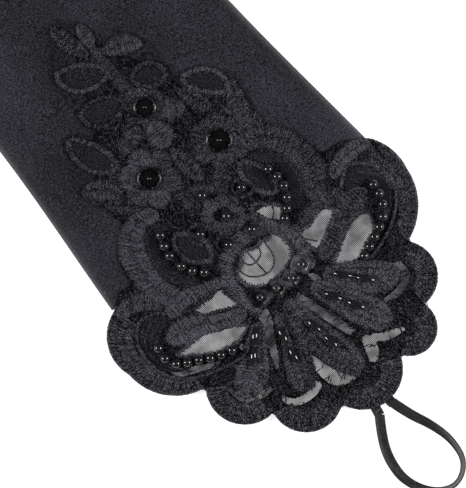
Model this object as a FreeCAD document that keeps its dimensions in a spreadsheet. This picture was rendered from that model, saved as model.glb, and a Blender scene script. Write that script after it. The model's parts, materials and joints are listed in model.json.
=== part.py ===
"""Fingerless satin opera glove with a beaded lace fan and a ribbon finger loop.

Millimetres. The glove lies palm down: X across the hand, +Y towards the arm, +Z up.
The origin is the middle of the hand opening, on the plane that the glove rests on.
Lace outlines are drawn about the fan's hub, where its five petals meet, and every lace
piece is then placed there.
"""
import FreeCAD, Part
import Sketcher
import math
import os

Vector = FreeCAD.Vector
Rotation = FreeCAD.Rotation
Placement = FreeCAD.Placement

# ---------------------------------------------------------------- driving dimensions
DIMENSIONS = {
    # satin tube
    "cloth": 0.6,            # satin with its lining, pressed
    "hem_turn": 5.71,        # degrees that the hand hem slants to the thumb side
    "hem_half": 44.2,        # half widths, laid flat, from hand to arm
    "palm_half": 39.5,
    "wrist_half": 38.5,
    "forearm_half": 49.0,
    "arm_half": 56.0,
    "palm_along": 57.0,      # how far up the arm those widths are
    "wrist_along": 100.0,
    "forearm_along": 230.0,
    "arm_along": 352.0,
    "hem_height": 7.0,       # top of the tube above the table at the hand opening
    "rise": 0.0175,          # and how much it gains per millimetre of length
    "flat_share": 0.72,      # part of the half width that is level on top
    "haunch_share": 0.92,    # where the side turns down
    "haunch_height": 0.6,    # and how high it is there
    "seam_width": 4.0,
    "seam_inset": 3.0,
    "seam_stack": 0.8,
    # arm opening
    "band_width": 20.0,
    "band_cloth": 0.5,
    "band_half": 52.0,
    "elastic_width": 8.0,
    "elastic_thick": 0.7,
    # lace
    "hub_across": -1.75,     # the fan's hub from the origin
    "hub_along": -33.0,
    "hem_line": 33.0,        # the next five are distances from the hub along the glove
    "fold_line": 23.7,
    "fold_gap": 0.25,        # the net stops this far each side of the fold
    "stitch_gap": 1.0,       # and the stitching this far, so that it clears when folded
    "fan_tip": -34.5,
    "lace_top": 120.0,
    "fold_height": 4.2,      # lace height at the fold and at the fan's tip
    "tip_height": 1.0,
    "lace_gap": 0.15,
    "net": 0.4,              # tulle
    "stitch": 0.6,           # satin stitch standing on it
    "layer_gap": 0.05,
    "border_share": 0.87,    # inner edge of the fan's border, as a share of its outline
    # beads
    "pearl": 3.0,
    "thread_hole": 0.8,
    "seed": 2.2,
    "sequin": 6.4,
    "sequin_thick": 0.3,
    "sequin_lap": 0.2,       # space between two overlapping sequins
    "seed_lift": 2.3,        # a seed bead's height over its sequin, in sequin thicknesses
    "rice_length": 6.2,
    "rice_thick": 2.3,
    "rice_lip": 0.25,        # wall left round the hole at a rice bead's ends
    "claw": 0.7,
    # finger loop
    "ribbon_width": 3.0,
    "ribbon_thick": 0.7,
    "ribbon_height": 0.1,
    "tail_length": 8.0,
    "tail_spread": 2.6,
}

# ---------------------------------------------------------------- lace drawing, about the hub
# The fan's edge, each lobe as start, middle and end of an arc, from the thumb side's wing
# round the tip to the other wing.
FAN_LOBES = [
    [(-42.0, 37.0), (-49.6, 31.0), (-50.6, 20.0)],
    [(-50.6, 20.0), (-47.2, 9.8), (-36.0, 3.0)],
    [(-36.0, 3.0), (-37.3, -8.7), (-25.7, -15.2)],
    [(-25.7, -15.2), (-22.4, -25.6), (-9.0, -26.3)],
    [(-9.0, -26.3), (3.0, -34.0), (13.2, -26.2)],
    [(13.2, -26.2), (23.8, -29.2), (28.0, -19.4)],
    [(28.0, -19.4), (37.0, -14.6), (36.0, -2.4)],
    [(36.0, -2.4), (45.2, 3.8), (49.4, 14.0)],
    [(49.4, 14.0), (49.6, 21.0), (46.5, 28.0)],
]
# The lace on the back of the hand runs from wing to wing over the pointed top.
HAND_EDGE = [
    (32.0, 29.5), (31.5, 40.0), (25.0, 48.5), (27.5, 58.0), (28.0, 68.0), (17.0, 76.5),
    (15.5, 91.0), (8.0, 99.0), (3.5, 108.0), (-3.0, 112.0), (-12.5, 100.5), (-14.0, 84.5),
    (-21.5, 83.5), (-28.0, 70.0), (-24.0, 53.0), (-32.0, 46.0), (-32.0, 32.5),
]
FAN_PETALS = [            # foot, tip, width
    ((-12.0, 6.0), (-28.0, -4.5), 8.0),
    ((-9.0, 1.5), (-15.0, -17.0), 8.0),
    ((-0.5, -3.5), (2.0, -23.0), 10.0),
    ((7.5, 1.0), (17.0, -18.0), 8.0),
    ((12.5, 4.5), (27.0, -7.0), 8.0),
]
BUD_LEAVES = [
    ((0.0, 98.0), (-3.0, 111.0), 5.0),
    ((1.8, 98.5), (3.2, 106.5), 3.6),
    ((-11.0, 99.0), (1.0, 91.0), 7.0),
    ((3.5, 95.8), (14.0, 90.3), 5.0),
    ((2.0, 92.5), (2.0, 79.5), 4.6),
]
BUD_DISCS = [((-8.0, 85.0), 5.0), ((10.0, 81.5), 4.6), ((2.7, 76.0), 4.2)]
LEFT_LEAVES = [((-20.0, 82.5), (-14.2, 68.0), 7.0), ((-27.0, 69.0), (-18.5, 60.5), 6.0)]
RIGHT_LEAVES = [((16.0, 75.0), (24.5, 64.5), 6.0), ((27.0, 66.0), (22.0, 52.0), 6.0)]
CENTRE_LEAVES = [((1.0, 71.0), (1.6, 48.5), 5.5), ((3.2, 42.6), (8.0, 48.4), 4.6)]
LEFT_FLOWER = ((-9.5, 59.5), 7.8)
RIGHT_FLOWER = ((13.0, 55.0), 7.6)
RING_FLOWER = ((0.0, 38.0), 5.6)
HUB_RING = ((0.0, 20.0), 12.6, 9.4)      # centre, outer and inner radius

# Crescents: one end, middle of the outer arc, other end, middle of the inner arc.
LEFT_SMALL_SCROLL = [(-14.0, 50.0), (-31.0, 40.0), (-23.0, 28.0), (-25.0, 39.5)]
RIGHT_SMALL_SCROLL = [(15.0, 47.0), (30.8, 36.0), (21.5, 26.5), (25.0, 36.0)]
LEFT_WING = [(-50.0, 30.0), (-46.3, 34.6), (-34.0, 31.0), (-43.5, 30.6)]
RIGHT_WING = [(49.3, 21.5), (47.2, 26.0), (33.5, 27.5), (43.5, 22.8)]
LEFT_BIG_SCROLL = [(-34.0, 25.8), (-41.4, 17.0), (-25.0, 6.0), (-37.4, 16.5)]
RIGHT_BIG_SCROLL = [(35.0, 19.4), (40.0, 13.0), (26.5, 3.0), (36.0, 12.8)]

# ---------------------------------------------------------------- beads, about the hub
PEARLS = {
    "left_scroll_pearls": [
        (-17.5, 45.0), (-18.7, 41.9), (-19.3, 38.8), (-18.6, 34.3), (-17.1, 31.3), (-14.8, 28.8),
    ],
    "right_scroll_pearls": [
        (18.4, 39.6), (19.0, 36.3), (18.8, 33.0), (17.3, 29.9), (15.3, 27.5), (13.0, 25.7),
    ],
    "hand_pearls": [(-0.9, 46.0), (-8.5, 37.8), (0.5, 37.0), (9.2, 40.5), (-4.3, 30.3), (3.7, 29.4)],
    "left_fan_pearls": [
        (-39.0, 20.5), (-39.5, 17.0), (-38.0, 13.8), (-35.3, 12.0),
        (-32.3, 10.4), (-29.4, 8.7), (-26.4, 7.4), (-23.2, 6.4),
    ],
    "right_fan_pearls": [
        (38.8, 16.7), (38.4, 13.6), (37.2, 10.6), (35.0, 7.8),
        (32.3, 6.2), (29.4, 4.9), (26.5, 3.7), (23.6, 2.6),
    ],
}
SEQUINS = [(-7.2, 12.8), (-1.8, 11.8), (3.3, 11.3), (8.0, 12.5)]
RICE_STRANDS = [          # from, to; two beads on each
    ((-13.4, 7.4), (-21.8, -1.2)),
    ((-8.6, 3.4), (-11.2, -9.6)),
    ((-1.0, -0.2), (0.8, -13.8)),
    ((7.4, 2.8), (14.6, -10.2)),
    ((13.0, 5.2), (22.0, -5.6)),
]
STONES = [((2.7, 76.0), 2.8), ((-9.5, 59.5), 3.0), ((13.0, 55.0), 3.3)]   # place, radius

# The finger loop's route on the table, from one sewn end to the other, about the hub.
LOOP_ROUTE = [
    (-2.6, -35.6), (-6.3, -41.0), (-9.0, -47.6), (-9.4, -55.4), (-5.4, -62.4), (1.2, -65.9),
    (7.6, -62.2), (8.8, -54.6), (7.0, -47.2), (4.1, -41.0), (2.6, -35.4),
]

doc = FreeCAD.newDocument("opera_glove")
sheet = doc.addObject("Spreadsheet::Sheet", "Dims")
nodes = []


def fill_sheet():
    for row, (alias, value) in enumerate(DIMENSIONS.items(), 1):
        sheet.set("A%d" % row, alias)
        sheet.set("B%d" % row, str(value))
        sheet.setAlias("B%d" % row, alias)
    doc.recompute()


def size(expression):
    """The number that an expression in the sheet's aliases gives now."""
    return float(sheet.evalExpression(expression))


def dims(expression):
    """The same expression as another object has to write it."""
    for alias in sorted(DIMENSIONS, key=len, reverse=True):
        expression = expression.replace(alias, "Dims.@%d@" % list(DIMENSIONS).index(alias))
    for index, alias in enumerate(DIMENSIONS):
        expression = expression.replace("@%d@" % index, alias)
    return expression


def keep(item, label):
    """Name a finished sub-part; its label becomes its file's name."""
    item.Label = label
    nodes.append(item)
    return item


# ---------------------------------------------------------------- sketches
def bind_point(sketch, edge, x_text, y_text):
    for kind, text in (("DistanceX", x_text), ("DistanceY", y_text)):
        row = sketch.addConstraint(Sketcher.Constraint(kind, -1, 1, edge, 1, size(text)))
        sketch.setExpression("Constraints[%d]" % row, dims(text))


def polygon(sketch, corners):
    """A closed outline whose corners are pairs of expressions in the sheet's aliases."""
    first = sketch.GeometryCount
    count = len(corners)
    places = [Vector(size(x), size(y), 0) for x, y in corners]
    for i in range(count):
        sketch.addGeometry(Part.LineSegment(places[i], places[(i + 1) % count]))
    for i in range(count):
        joined = Sketcher.Constraint("Coincident", first + i, 2, first + (i + 1) % count, 1)
        sketch.addConstraint(joined)
    for i in range(count):
        bind_point(sketch, first + i, *corners[i])


def body_sketch(body, name, role, offset=0.0, turn=0.0):
    """A sketch on one of the body's own origin planes, moved along it and turned about Z."""
    plane = [f for f in body.Origin.OriginFeatures if f.Role == role][0]
    sketch = body.newObject("Sketcher::SketchObject", name)
    sketch.AttachmentSupport = [(plane, "")]
    sketch.MapMode = "FlatFace"
    spin = Rotation(Vector(0, 1, 0), turn)
    sketch.AttachmentOffset = Placement(Vector(0, 0, offset), spin)
    return sketch


def new_body(label):
    return keep(doc.addObject("PartDesign::Body", label), label)


# ---------------------------------------------------------------- satin tube
STATIONS = ["hem", "palm", "wrist", "forearm", "arm"]


def station_along(name):
    return "0" if name == "hem" else name + "_along"


def station_height(name):
    return "(hem_height + rise * %s)" % station_along(name)


def arch_corners(half, height):
    """A bent strip of cloth: level on top, turned down at both sides to the palm panel."""
    level = "%s * flat_share" % half
    haunch = "%s * haunch_share" % half
    mid = "%s * haunch_height" % height
    outer = [(half, "cloth"), (haunch, mid), (level, height)]
    inner = [
        ("%s - 2 * cloth" % half, "cloth"),
        ("%s - cloth" % haunch, "%s - 0.8 * cloth" % mid),
        ("%s - 0.3 * cloth" % level, "%s - cloth" % height),
    ]
    left = [("-(%s)" % x, y) for x, y in outer]
    left_inner = [("-(%s)" % x, y) for x, y in inner]
    return left + outer[::-1] + inner + left_inner[::-1]


def back_panel():
    body = new_body("satin_back_panel")
    sketches = []
    for name in STATIONS:
        turn = -size("hem_turn") if name == "hem" else 0.0
        sketch = body_sketch(body, "back_" + name, "XZ_Plane", -size(station_along(name)), turn)
        offset = "-(%s)" % dims(station_along(name))
        sketch.setExpression("AttachmentOffset.Base.z", offset)
        polygon(sketch, arch_corners(name + "_half", station_height(name)))
        sketches.append(sketch)
    loft = body.newObject("PartDesign::AdditiveLoft", "back_loft")
    loft.Profile = sketches[0]
    loft.Sections = sketches[1:]
    loft.Ruled = True


def side_line(side, inset, short="0"):
    """The tube's side edge from hand to arm, as expressions; side is 1 or -1.

    It lies that inset in from the edge and stops that short of the arm opening."""
    first = "(hem_half - (%s))" % inset
    line = [("%d * %s * cos(hem_turn)" % (side, first), "%d * %s * sin(hem_turn)" % (-side, first))]
    for name in ("palm", "wrist", "forearm"):
        line.append(("%d * (%s_half - (%s))" % (side, name, inset), name + "_along"))
    taper = "(arm_half - forearm_half) / (arm_along - forearm_along)"
    last = "(arm_half - (%s) - (%s) * %s)" % (inset, short, taper)
    line.append(("%d * %s" % (side, last), "arm_along - (%s)" % short))
    return line


def pad(body, sketch, thickness):
    feature = body.newObject("PartDesign::Pad", sketch.Name + "_pad")
    feature.Profile = sketch
    feature.setExpression("Length", dims(thickness))
    return feature


def palm_panel():
    body = new_body("satin_palm_panel")
    sketch = body_sketch(body, "palm_outline", "XY_Plane")
    polygon(sketch, side_line(-1, "0") + side_line(1, "0")[::-1])
    pad(body, sketch, "cloth")


def seam_allowance(label, side):
    body = new_body(label)
    sketch = body_sketch(body, label + "_outline", "XY_Plane", size("cloth"))
    sketch.setExpression("AttachmentOffset.Base.z", dims("cloth"))
    outer = side_line(side, "seam_inset", "band_width + 1")
    inner = side_line(side, "seam_inset + seam_width", "band_width + 1")
    polygon(sketch, outer + inner[::-1])
    pad(body, sketch, "seam_stack")


def ring_corners(inset):
    """A closed outline inside the arm opening, a given distance in from the band's outside."""
    half = "(band_half - 1.6 * %s)" % inset
    low = "(cloth + 0.1 + %s)" % inset
    high = "(hem_height + rise * (arm_along - band_width) - cloth - 0.2 - %s)" % inset
    mid = "%s + (%s - %s) * haunch_height" % (low, high, low)
    return [
        ("-" + half, low), (half, low), ("%s * haunch_share" % half, mid),
        ("%s * flat_share" % half, high), ("-%s * flat_share" % half, high),
        ("-%s * haunch_share" % half, mid),
    ]


def arm_ring(label, start, width, inset, thick):
    """A band round the inside of the arm opening: the turned hem, or the elastic on it."""
    body = new_body(label)
    sketch = body_sketch(body, label + "_ring", "XZ_Plane", -size(start))
    sketch.setExpression("AttachmentOffset.Base.z", "-(%s)" % dims(start))
    polygon(sketch, ring_corners(inset))
    polygon(sketch, ring_corners("(%s + %s)" % (inset, thick)))
    feature = pad(body, sketch, width)
    feature.Reversed = True


# ---------------------------------------------------------------- lace
def hub_place(height=0.0):
    return Placement(Vector(size("hub_across"), size("hub_along"), height), Rotation())


def slant():
    return math.tan(math.radians(size("hem_turn")))


def along(x, y):
    """Distance from the hub measured across the slanted hem, which sets the lace's height."""
    return y + slant() * x


def lace_height(x, y):
    """Underside of the net above the table."""
    here = along(x, y)
    hem, fold, tip = size("hem_line"), size("fold_line"), size("fan_tip")
    if here >= hem:
        return size("hem_height + lace_gap") + size("rise") * (here - hem)
    if here >= fold:
        share = (here - fold) / (hem - fold)
        return size("fold_height") + share * size("hem_height + lace_gap - fold_height")
    share = (here - tip) / (fold - tip)
    return size("tip_height") + share * size("fold_height - tip_height")


def bead_floor(x, y):
    """Top of the stitching, where beads sit."""
    return lace_height(x, y) + size("net + stitch + 2 * layer_gap")


def extrusion(name, sketch, direction, length, both=False):
    block = doc.addObject("Part::Extrusion", name)
    block.Base = sketch
    block.DirMode = "Custom"
    block.Dir = direction
    block.LengthFwd = length
    block.Solid = True
    block.Symmetric = both
    return block


LACE_BLOCK = 20.0          # taller than any lace layer
LACE_REACH = 140.0         # wider than the lace
TIP_MARGIN = 1.0           # how far a fan layer runs past the fan's tip
LOBE_FOCUS = 5.0           # the fan's border is drawn in towards this place above the hub


def layer(name, part, low, high, gap):
    """A slab that follows the draped lace on the hand or on the fan, from low to high above it."""
    gap = size(gap)
    fold, hem = size("fold_line"), size("hem_line")
    if part == "hand":
        stations = [fold + gap, hem, size("lace_top")]
    else:
        stations = [size("fan_tip") - TIP_MARGIN, fold - gap]
    sketch = doc.addObject("Sketcher::SketchObject", name + "_profile")
    sketch.Placement = Placement(Vector(), Rotation(Vector(1, 1, 1), 120))
    bottom = [Vector(y, lace_height(0, y) + size(low), 0) for y in stations]
    top = [Vector(y, lace_height(0, y) + size(high), 0) for y in reversed(stations)]
    ring = bottom + top
    for i, corner in enumerate(ring):
        sketch.addGeometry(Part.LineSegment(corner, ring[(i + 1) % len(ring)]))
    return extrusion(name, sketch, Vector(1, -slant(), 0), LACE_REACH, both=True)


def outline(name, edges):
    """A plan sketch from straight edges (two points) and arcs (three points), cut tall."""
    sketch = doc.addObject("Sketcher::SketchObject", name + "_plan")
    for edge in edges:
        points = [Vector(x, y, 0) for x, y in edge]
        shape = Part.Arc(*points) if len(points) == 3 else Part.LineSegment(*points)
        sketch.addGeometry(shape)
    return extrusion(name + "_cut", sketch, Vector(0, 0, 1), LACE_BLOCK)


def leaf(name, foot, tip, width):
    middle = (Vector(*foot, 0) + Vector(*tip, 0)) * 0.5
    run = Vector(*tip, 0) - Vector(*foot, 0)
    side = Vector(-run.y, run.x, 0).normalize() * (width / 2)
    left = (middle.x + side.x, middle.y + side.y)
    right = (middle.x - side.x, middle.y - side.y)
    return outline(name, [(foot, left, tip), (tip, right, foot)])


def crescent(name, points):
    start, outer, end, inner = points
    return outline(name, [(start, outer, end), (end, inner, start)])


def disc(name, centre, radius):
    plate = doc.addObject("Part::Cylinder", name + "_disc")
    plate.Radius = radius
    plate.Height = LACE_BLOCK
    plate.Placement = Placement(Vector(*centre, 0), Rotation())
    return plate


def joined(name, pieces):
    if len(pieces) == 1:
        return pieces[0]
    fuse = doc.addObject("Part::MultiFuse", name + "_plan_sum")
    fuse.Shapes = pieces
    return fuse


def less(name, base, tool):
    cut = doc.addObject("Part::Cut", name)
    cut.Base = base
    cut.Tool = tool
    return cut


def lace_piece(label, plan, slab):
    """One layer of lace: a plan outline cut out of a draped slab, placed at the hub."""
    common = doc.addObject("Part::Common", label)
    common.Base = plan
    common.Tool = slab
    common.Placement = hub_place()
    return keep(common, label)


def lobes(scale=1.0):
    """The fan's arcs, drawn in towards their focus by a share."""
    return [[(x * scale, (y - LOBE_FOCUS) * scale + LOBE_FOCUS) for x, y in arc] for arc in FAN_LOBES]


def fan_plan(name, scale=1.0):
    arcs = lobes(scale)
    return outline(name, arcs + [(arcs[-1][-1], arcs[0][0])])


def hand_plan():
    arcs = lobes()
    path = [arcs[-1][-1]] + HAND_EDGE + [arcs[0][0]]
    lines = [(path[i], path[i + 1]) for i in range(len(path) - 1)]
    return outline("hand_lace", arcs + lines)


def leaves(name, rows):
    return [leaf("%s_%d" % (name, i + 1), *row) for i, row in enumerate(rows)]


def hub_ring(name):
    centre, outer, inner = HUB_RING
    return less(name + "_ring", disc(name + "_out", centre, outer), disc(name + "_in", centre, inner))


def lace():
    net = ("0", "net", "fold_gap")
    stitches = ("net + layer_gap", "net + layer_gap + stitch", "stitch_gap")
    hand_net = layer("hand_net_layer", "hand", *net)
    hand_stitch = layer("hand_stitch_layer", "hand", *stitches)
    fan_net = layer("fan_net_layer", "fan", *net)
    fan_stitch = layer("fan_stitch_layer", "fan", *stitches)

    lace_piece("hand_lace_ground", hand_plan(), hand_net)
    lace_piece("fan_tulle", fan_plan("fan_whole"), fan_net)

    buds = leaves("bud", BUD_LEAVES)
    buds += [disc("bud_%d" % i, *row) for i, row in enumerate(BUD_DISCS)]
    lace_piece("bud_spray", joined("buds", buds), hand_stitch)
    lace_piece("left_leaf_spray", joined("left_leaves", leaves("left", LEFT_LEAVES)), hand_stitch)
    lace_piece("right_leaf_spray", joined("right_leaves", leaves("right", RIGHT_LEAVES)), hand_stitch)
    lace_piece("left_flower", disc("left_flower", *LEFT_FLOWER), hand_stitch)
    lace_piece("right_flower", disc("right_flower", *RIGHT_FLOWER), hand_stitch)
    centre = leaves("centre", CENTRE_LEAVES) + [disc("ring_flower", *RING_FLOWER), hub_ring("upper")]
    lace_piece("hand_centre_motif", joined("centre", centre), hand_stitch)
    lace_piece("left_small_scroll", crescent("left_small", LEFT_SMALL_SCROLL), hand_stitch)
    lace_piece("right_small_scroll", crescent("right_small", RIGHT_SMALL_SCROLL), hand_stitch)
    lace_piece("left_wing_border", crescent("left_wing", LEFT_WING), hand_stitch)
    lace_piece("right_wing_border", crescent("right_wing", RIGHT_WING), hand_stitch)

    rim = less("fan_rim", fan_plan("fan_outer"), fan_plan("fan_inner", size("border_share")))
    lace_piece("fan_border", rim, fan_stitch)
    lace_piece("fan_petals", joined("petals", leaves("petal", FAN_PETALS)), fan_stitch)
    lace_piece("fan_hub_ring", hub_ring("lower"), fan_stitch)
    lace_piece("left_big_scroll", crescent("left_big", LEFT_BIG_SCROLL), fan_stitch)
    lace_piece("right_big_scroll", crescent("right_big", RIGHT_BIG_SCROLL), fan_stitch)


# ---------------------------------------------------------------- beads and stones
def group(label, pieces):
    """Identical pieces as one sub-part of separate solids."""
    bunch = doc.addObject("Part::Compound", label)
    bunch.Links = pieces
    bunch.Placement = hub_place()
    return keep(bunch, label)


def turned_bead(half, radius, end):
    """A bead turned about its thread hole, which runs along X; end is its radius at both ends."""
    hole = size("thread_hole / 2")
    arc = Part.Arc(Vector(-half, 0, end), Vector(0, 0, radius), Vector(half, 0, end)).toShape()
    corners = [Vector(half, 0, end), Vector(half, 0, hole), Vector(-half, 0, hole), Vector(-half, 0, end)]
    if end > hole:
        lines = [Part.makeLine(corners[i], corners[i + 1]) for i in range(3)]
    else:
        lines = [Part.makeLine(corners[0], corners[3])]
    return Part.Face(Part.Wire([arc] + lines)).revolve(Vector(), Vector(1, 0, 0), 360)


def bead(name, shape, x, y, radius, heading):
    """One bead lying on the stitching with its thread hole along the heading, in degrees."""
    piece = doc.addObject("Part::Feature", name)
    piece.Shape = shape
    centre = Vector(x, y, bead_floor(x, y) + radius)
    piece.Placement = Placement(centre, Rotation(Vector(0, 0, 1), heading))
    return piece


def pearl_shape():
    radius, hole = size("pearl / 2"), size("thread_hole / 2")
    return turned_bead(math.sqrt(radius ** 2 - hole ** 2), radius, hole)


def string_of_pearls(label, places):
    beads = []
    for i, (x, y) in enumerate(places):
        ahead = places[min(i + 1, len(places) - 1)]
        behind = places[max(i - 1, 0)]
        heading = math.degrees(math.atan2(ahead[1] - behind[1], ahead[0] - behind[0]))
        beads.append(bead("%s_%d" % (label, i + 1), pearl_shape(), x, y, size("pearl / 2"), heading))
    group(label, beads)


STRAND_SHARES = (0.26, 0.74)     # where a strand's two beads have their middles


def rice_beads():
    half, radius = size("rice_length / 2"), size("rice_thick / 2")
    end = size("thread_hole / 2 + rice_lip")
    beads = []
    for i, (start, finish) in enumerate(RICE_STRANDS):
        run = Vector(*finish, 0) - Vector(*start, 0)
        heading = math.degrees(math.atan2(run.y, run.x))
        for j, share in enumerate(STRAND_SHARES):
            middle = Vector(*start, 0) + run * share
            name = "rice_%d_%d" % (i + 1, j + 1)
            shape = turned_bead(half, radius, end)
            beads.append(bead(name, shape, middle.x, middle.y, radius, heading))
    group("rice_beads", beads)


def plate_floor(x, y, radius):
    """The highest stitching under a level plate of that radius."""
    return max(bead_floor(x, y - radius), bead_floor(x, y + radius))


def sequin_height(index):
    """The sequins overlap like scales, so every other one lies a little higher."""
    x, y = SEQUINS[index]
    return plate_floor(x, y, size("sequin / 2")) + (index % 2) * size("sequin_thick + sequin_lap")


def sequins():
    plates, seeds = [], []
    for i, (x, y) in enumerate(SEQUINS):
        plate = doc.addObject("Part::Prism", "sequin_%d_plate" % (i + 1))
        plate.Polygon = 6
        plate.setExpression("Circumradius", dims("sequin / 2"))
        plate.setExpression("Height", dims("sequin_thick"))
        hole = doc.addObject("Part::Cylinder", "sequin_%d_hole" % (i + 1))
        hole.setExpression("Radius", dims("thread_hole / 2"))
        hole.setExpression("Height", dims("sequin_thick"))
        whole = less("sequin_%d" % (i + 1), plate, hole)
        whole.Placement = Placement(Vector(x, y, sequin_height(i)), Rotation(Vector(0, 0, 1), 15.0 * i))
        plates.append(whole)
        seeds.append(seed_bead(i, x, y))
    group("sequins", plates)
    group("sequin_seed_beads", seeds)


def seed_bead(index, x, y):
    """A small doughnut that holds a sequin down."""
    ring = doc.addObject("Part::Torus", "seed_%d" % (index + 1))
    ring.setExpression("Radius1", dims("(seed + thread_hole) / 4"))
    ring.setExpression("Radius2", dims("(seed - thread_hole) / 4"))
    radius = size("(seed - thread_hole) / 4")
    height = sequin_height(index) + size("sequin_thick * seed_lift") + radius
    ring.Placement = Placement(Vector(x, y, height), Rotation())
    return ring


# The next shares are of a stone's radius.
FOOT_WIDE, FOOT_TALL = 0.45, 0.4
TABLE_WIDE, CROWN_TALL = 0.6, 0.35
CLAW_SHARE = 0.35          # how far a claw stands over the girdle
CLAW_CLEAR = 0.08          # from a claw to the stone's side
STONE_LIFT = 0.5           # the setting's plate, under the stone
PLATE_CLEAR = 0.05         # from that plate to the stone
SETTING_RIM = 0.8          # how far that plate stands out round the stone


def stone(name, place, radius):
    """A round stone: a flat-topped crown over a shallow foot."""
    floor = plate_floor(*place, radius + SETTING_RIM) + STONE_LIFT
    foot = doc.addObject("Part::Cone", name + "_foot")
    foot.Radius1 = radius * FOOT_WIDE
    foot.Radius2 = radius
    foot.Height = radius * FOOT_TALL
    foot.Placement = Placement(Vector(*place, floor), Rotation())
    crown = doc.addObject("Part::Cone", name + "_crown")
    crown.Radius1 = radius
    crown.Radius2 = radius * TABLE_WIDE
    crown.Height = radius * CROWN_TALL
    crown.Placement = Placement(Vector(*place, floor + radius * FOOT_TALL), Rotation())
    whole = doc.addObject("Part::Fuse", name)
    whole.Base = foot
    whole.Tool = crown
    return whole


def setting(name, place, radius):
    """A plate with four claws round the stone, clear of it by a hair."""
    floor = plate_floor(*place, radius + SETTING_RIM)
    plate = doc.addObject("Part::Cylinder", name + "_plate")
    plate.Radius = radius + SETTING_RIM
    plate.Height = STONE_LIFT - PLATE_CLEAR
    plate.Placement = Placement(Vector(*place, floor), Rotation())
    pieces = [plate]
    for quarter in range(4):
        claw = doc.addObject("Part::Box", "%s_claw_%d" % (name, quarter + 1))
        claw.setExpression("Length", dims("claw"))
        claw.setExpression("Width", dims("claw"))
        claw.Height = STONE_LIFT + radius * (FOOT_TALL + CLAW_SHARE)
        turn = Rotation(Vector(0, 0, 1), 45 + 90 * quarter)
        offset = turn.multVec(Vector(radius + CLAW_CLEAR, -size("claw / 2"), 0))
        claw.Placement = Placement(Vector(*place, floor) + offset, turn)
        pieces.append(claw)
    return joined(name, pieces)


def stones():
    rows = [("stone_%d" % (i + 1), *row) for i, row in enumerate(STONES)]
    group("rhinestones", [stone(*row) for row in rows])
    settings = [setting(name + "_set", place, radius) for name, place, radius in rows]
    group("rhinestone_settings", settings)


# ---------------------------------------------------------------- finger loop
CORNER_SHARE = 0.45        # of the shorter run at a corner, given to its arc


def rounded_route():
    """Straight runs joined by tangent arcs as large as the two runs at each point allow."""
    points = [Vector(x, y, 0) for x, y in LOOP_ROUTE]
    edges, start, radii = [], points[0], []
    for before, corner, after in zip(points, points[1:], points[2:]):
        run_in, run_out = corner - before, after - corner
        turn = run_in.getAngle(run_out)
        reach = CORNER_SHARE * min(run_in.Length, run_out.Length)
        enter = corner - run_in.normalize() * reach
        leave = corner + run_out.normalize() * reach
        radius = reach / math.tan(turn / 2)
        inward = (enter + leave) * 0.5 - corner
        depth = radius / math.cos(turn / 2) - radius
        middle = corner + inward.normalize() * depth
        edges.append(Part.LineSegment(start, enter).toShape())
        edges.append(Part.Arc(enter, middle, leave).toShape())
        radii.append(round(radius, 1))
        start = leave
    edges.append(Part.LineSegment(start, points[-1]).toShape())
    print("loop radii", radii)
    return Part.Wire(edges)


def finger_loop():
    """A flat ribbon swept along the rounded route."""
    route = rounded_route()
    width, thick = size("ribbon_width"), size("ribbon_thick")
    first = route.OrderedEdges[0]
    heading = first.tangentAt(first.FirstParameter)
    side = Vector(-heading.y, heading.x, 0) * (width / 2)
    start = route.OrderedVertexes[0].Point
    up = Vector(0, 0, thick)
    corners = [start - side, start + side, start + side + up, start - side + up, start - side]
    section = Part.makePolygon(corners)
    ribbon = doc.addObject("Part::Feature", "loop_ribbon")
    ribbon.Shape = route.makePipeShell([section], True, True)
    ribbon.Placement = hub_place(size("ribbon_height"))
    row = (route.Length, ribbon.Shape.Volume, route.Length * width * thick)
    print("loop length %.1f, volume %.2f, section times length %.2f" % row)
    keep(ribbon, "loop_ribbon")


TAIL_CLEAR = 0.2           # from the fan's tip to the tails


def sewn_tails():
    """The ribbon's two ends, stitched flat under the fan's tip."""
    tails = []
    for side in (-1, 1):
        tail = doc.addObject("Part::Box", "tail_%s" % ("left" if side < 0 else "right"))
        tail.setExpression("Length", dims("ribbon_width"))
        tail.setExpression("Width", dims("tail_length"))
        tail.setExpression("Height", dims("ribbon_thick"))
        x = side * size("tail_spread") - size("ribbon_width / 2")
        tail.Placement = Placement(Vector(x, size("fan_tip") + TAIL_CLEAR, size("ribbon_height")), Rotation())
        tails.append(tail)
    group("loop_sewn_tails", tails)


# ---------------------------------------------------------------- build, check and write
def check():
    for item in doc.Objects:
        if "Invalid" in item.State or "Error" in item.State:
            raise RuntimeError("%s failed: %s" % (item.Label, item.State))
    for item in nodes:
        if item.Shape.isNull() or not item.Shape.isValid() or not item.Shape.Solids:
            raise RuntimeError("%s has no valid solid" % item.Label)


def main():
    fill_sheet()
    back_panel()
    palm_panel()
    seam_allowance("left_seam_allowance", -1)
    seam_allowance("right_seam_allowance", 1)
    arm_ring("arm_hem_band", "arm_along - band_width", "band_width", "0", "band_cloth")
    elastic_start = "arm_along - band_width / 2 - elastic_width / 2"
    arm_ring("arm_elastic", elastic_start, "elastic_width", "(band_cloth + 0.1)", "elastic_thick")
    lace()
    for label, places in PEARLS.items():
        string_of_pearls(label, places)
    rice_beads()
    sequins()
    stones()
    finger_loop()
    sewn_tails()
    doc.recompute()
    check()
    os.makedirs("parts", exist_ok=True)
    for item in nodes:
        item.Shape.exportStep("parts/%s.step" % item.Label)
        box = item.Shape.BoundBox
        row = (item.Label, len(item.Shape.Solids), item.Shape.Volume, box.YMin, box.YMax, box.ZMin, box.ZMax)
        print("%-22s solids %2d volume %9.1f y %6.1f..%6.1f z %5.2f..%5.2f" % row)


main()
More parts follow.
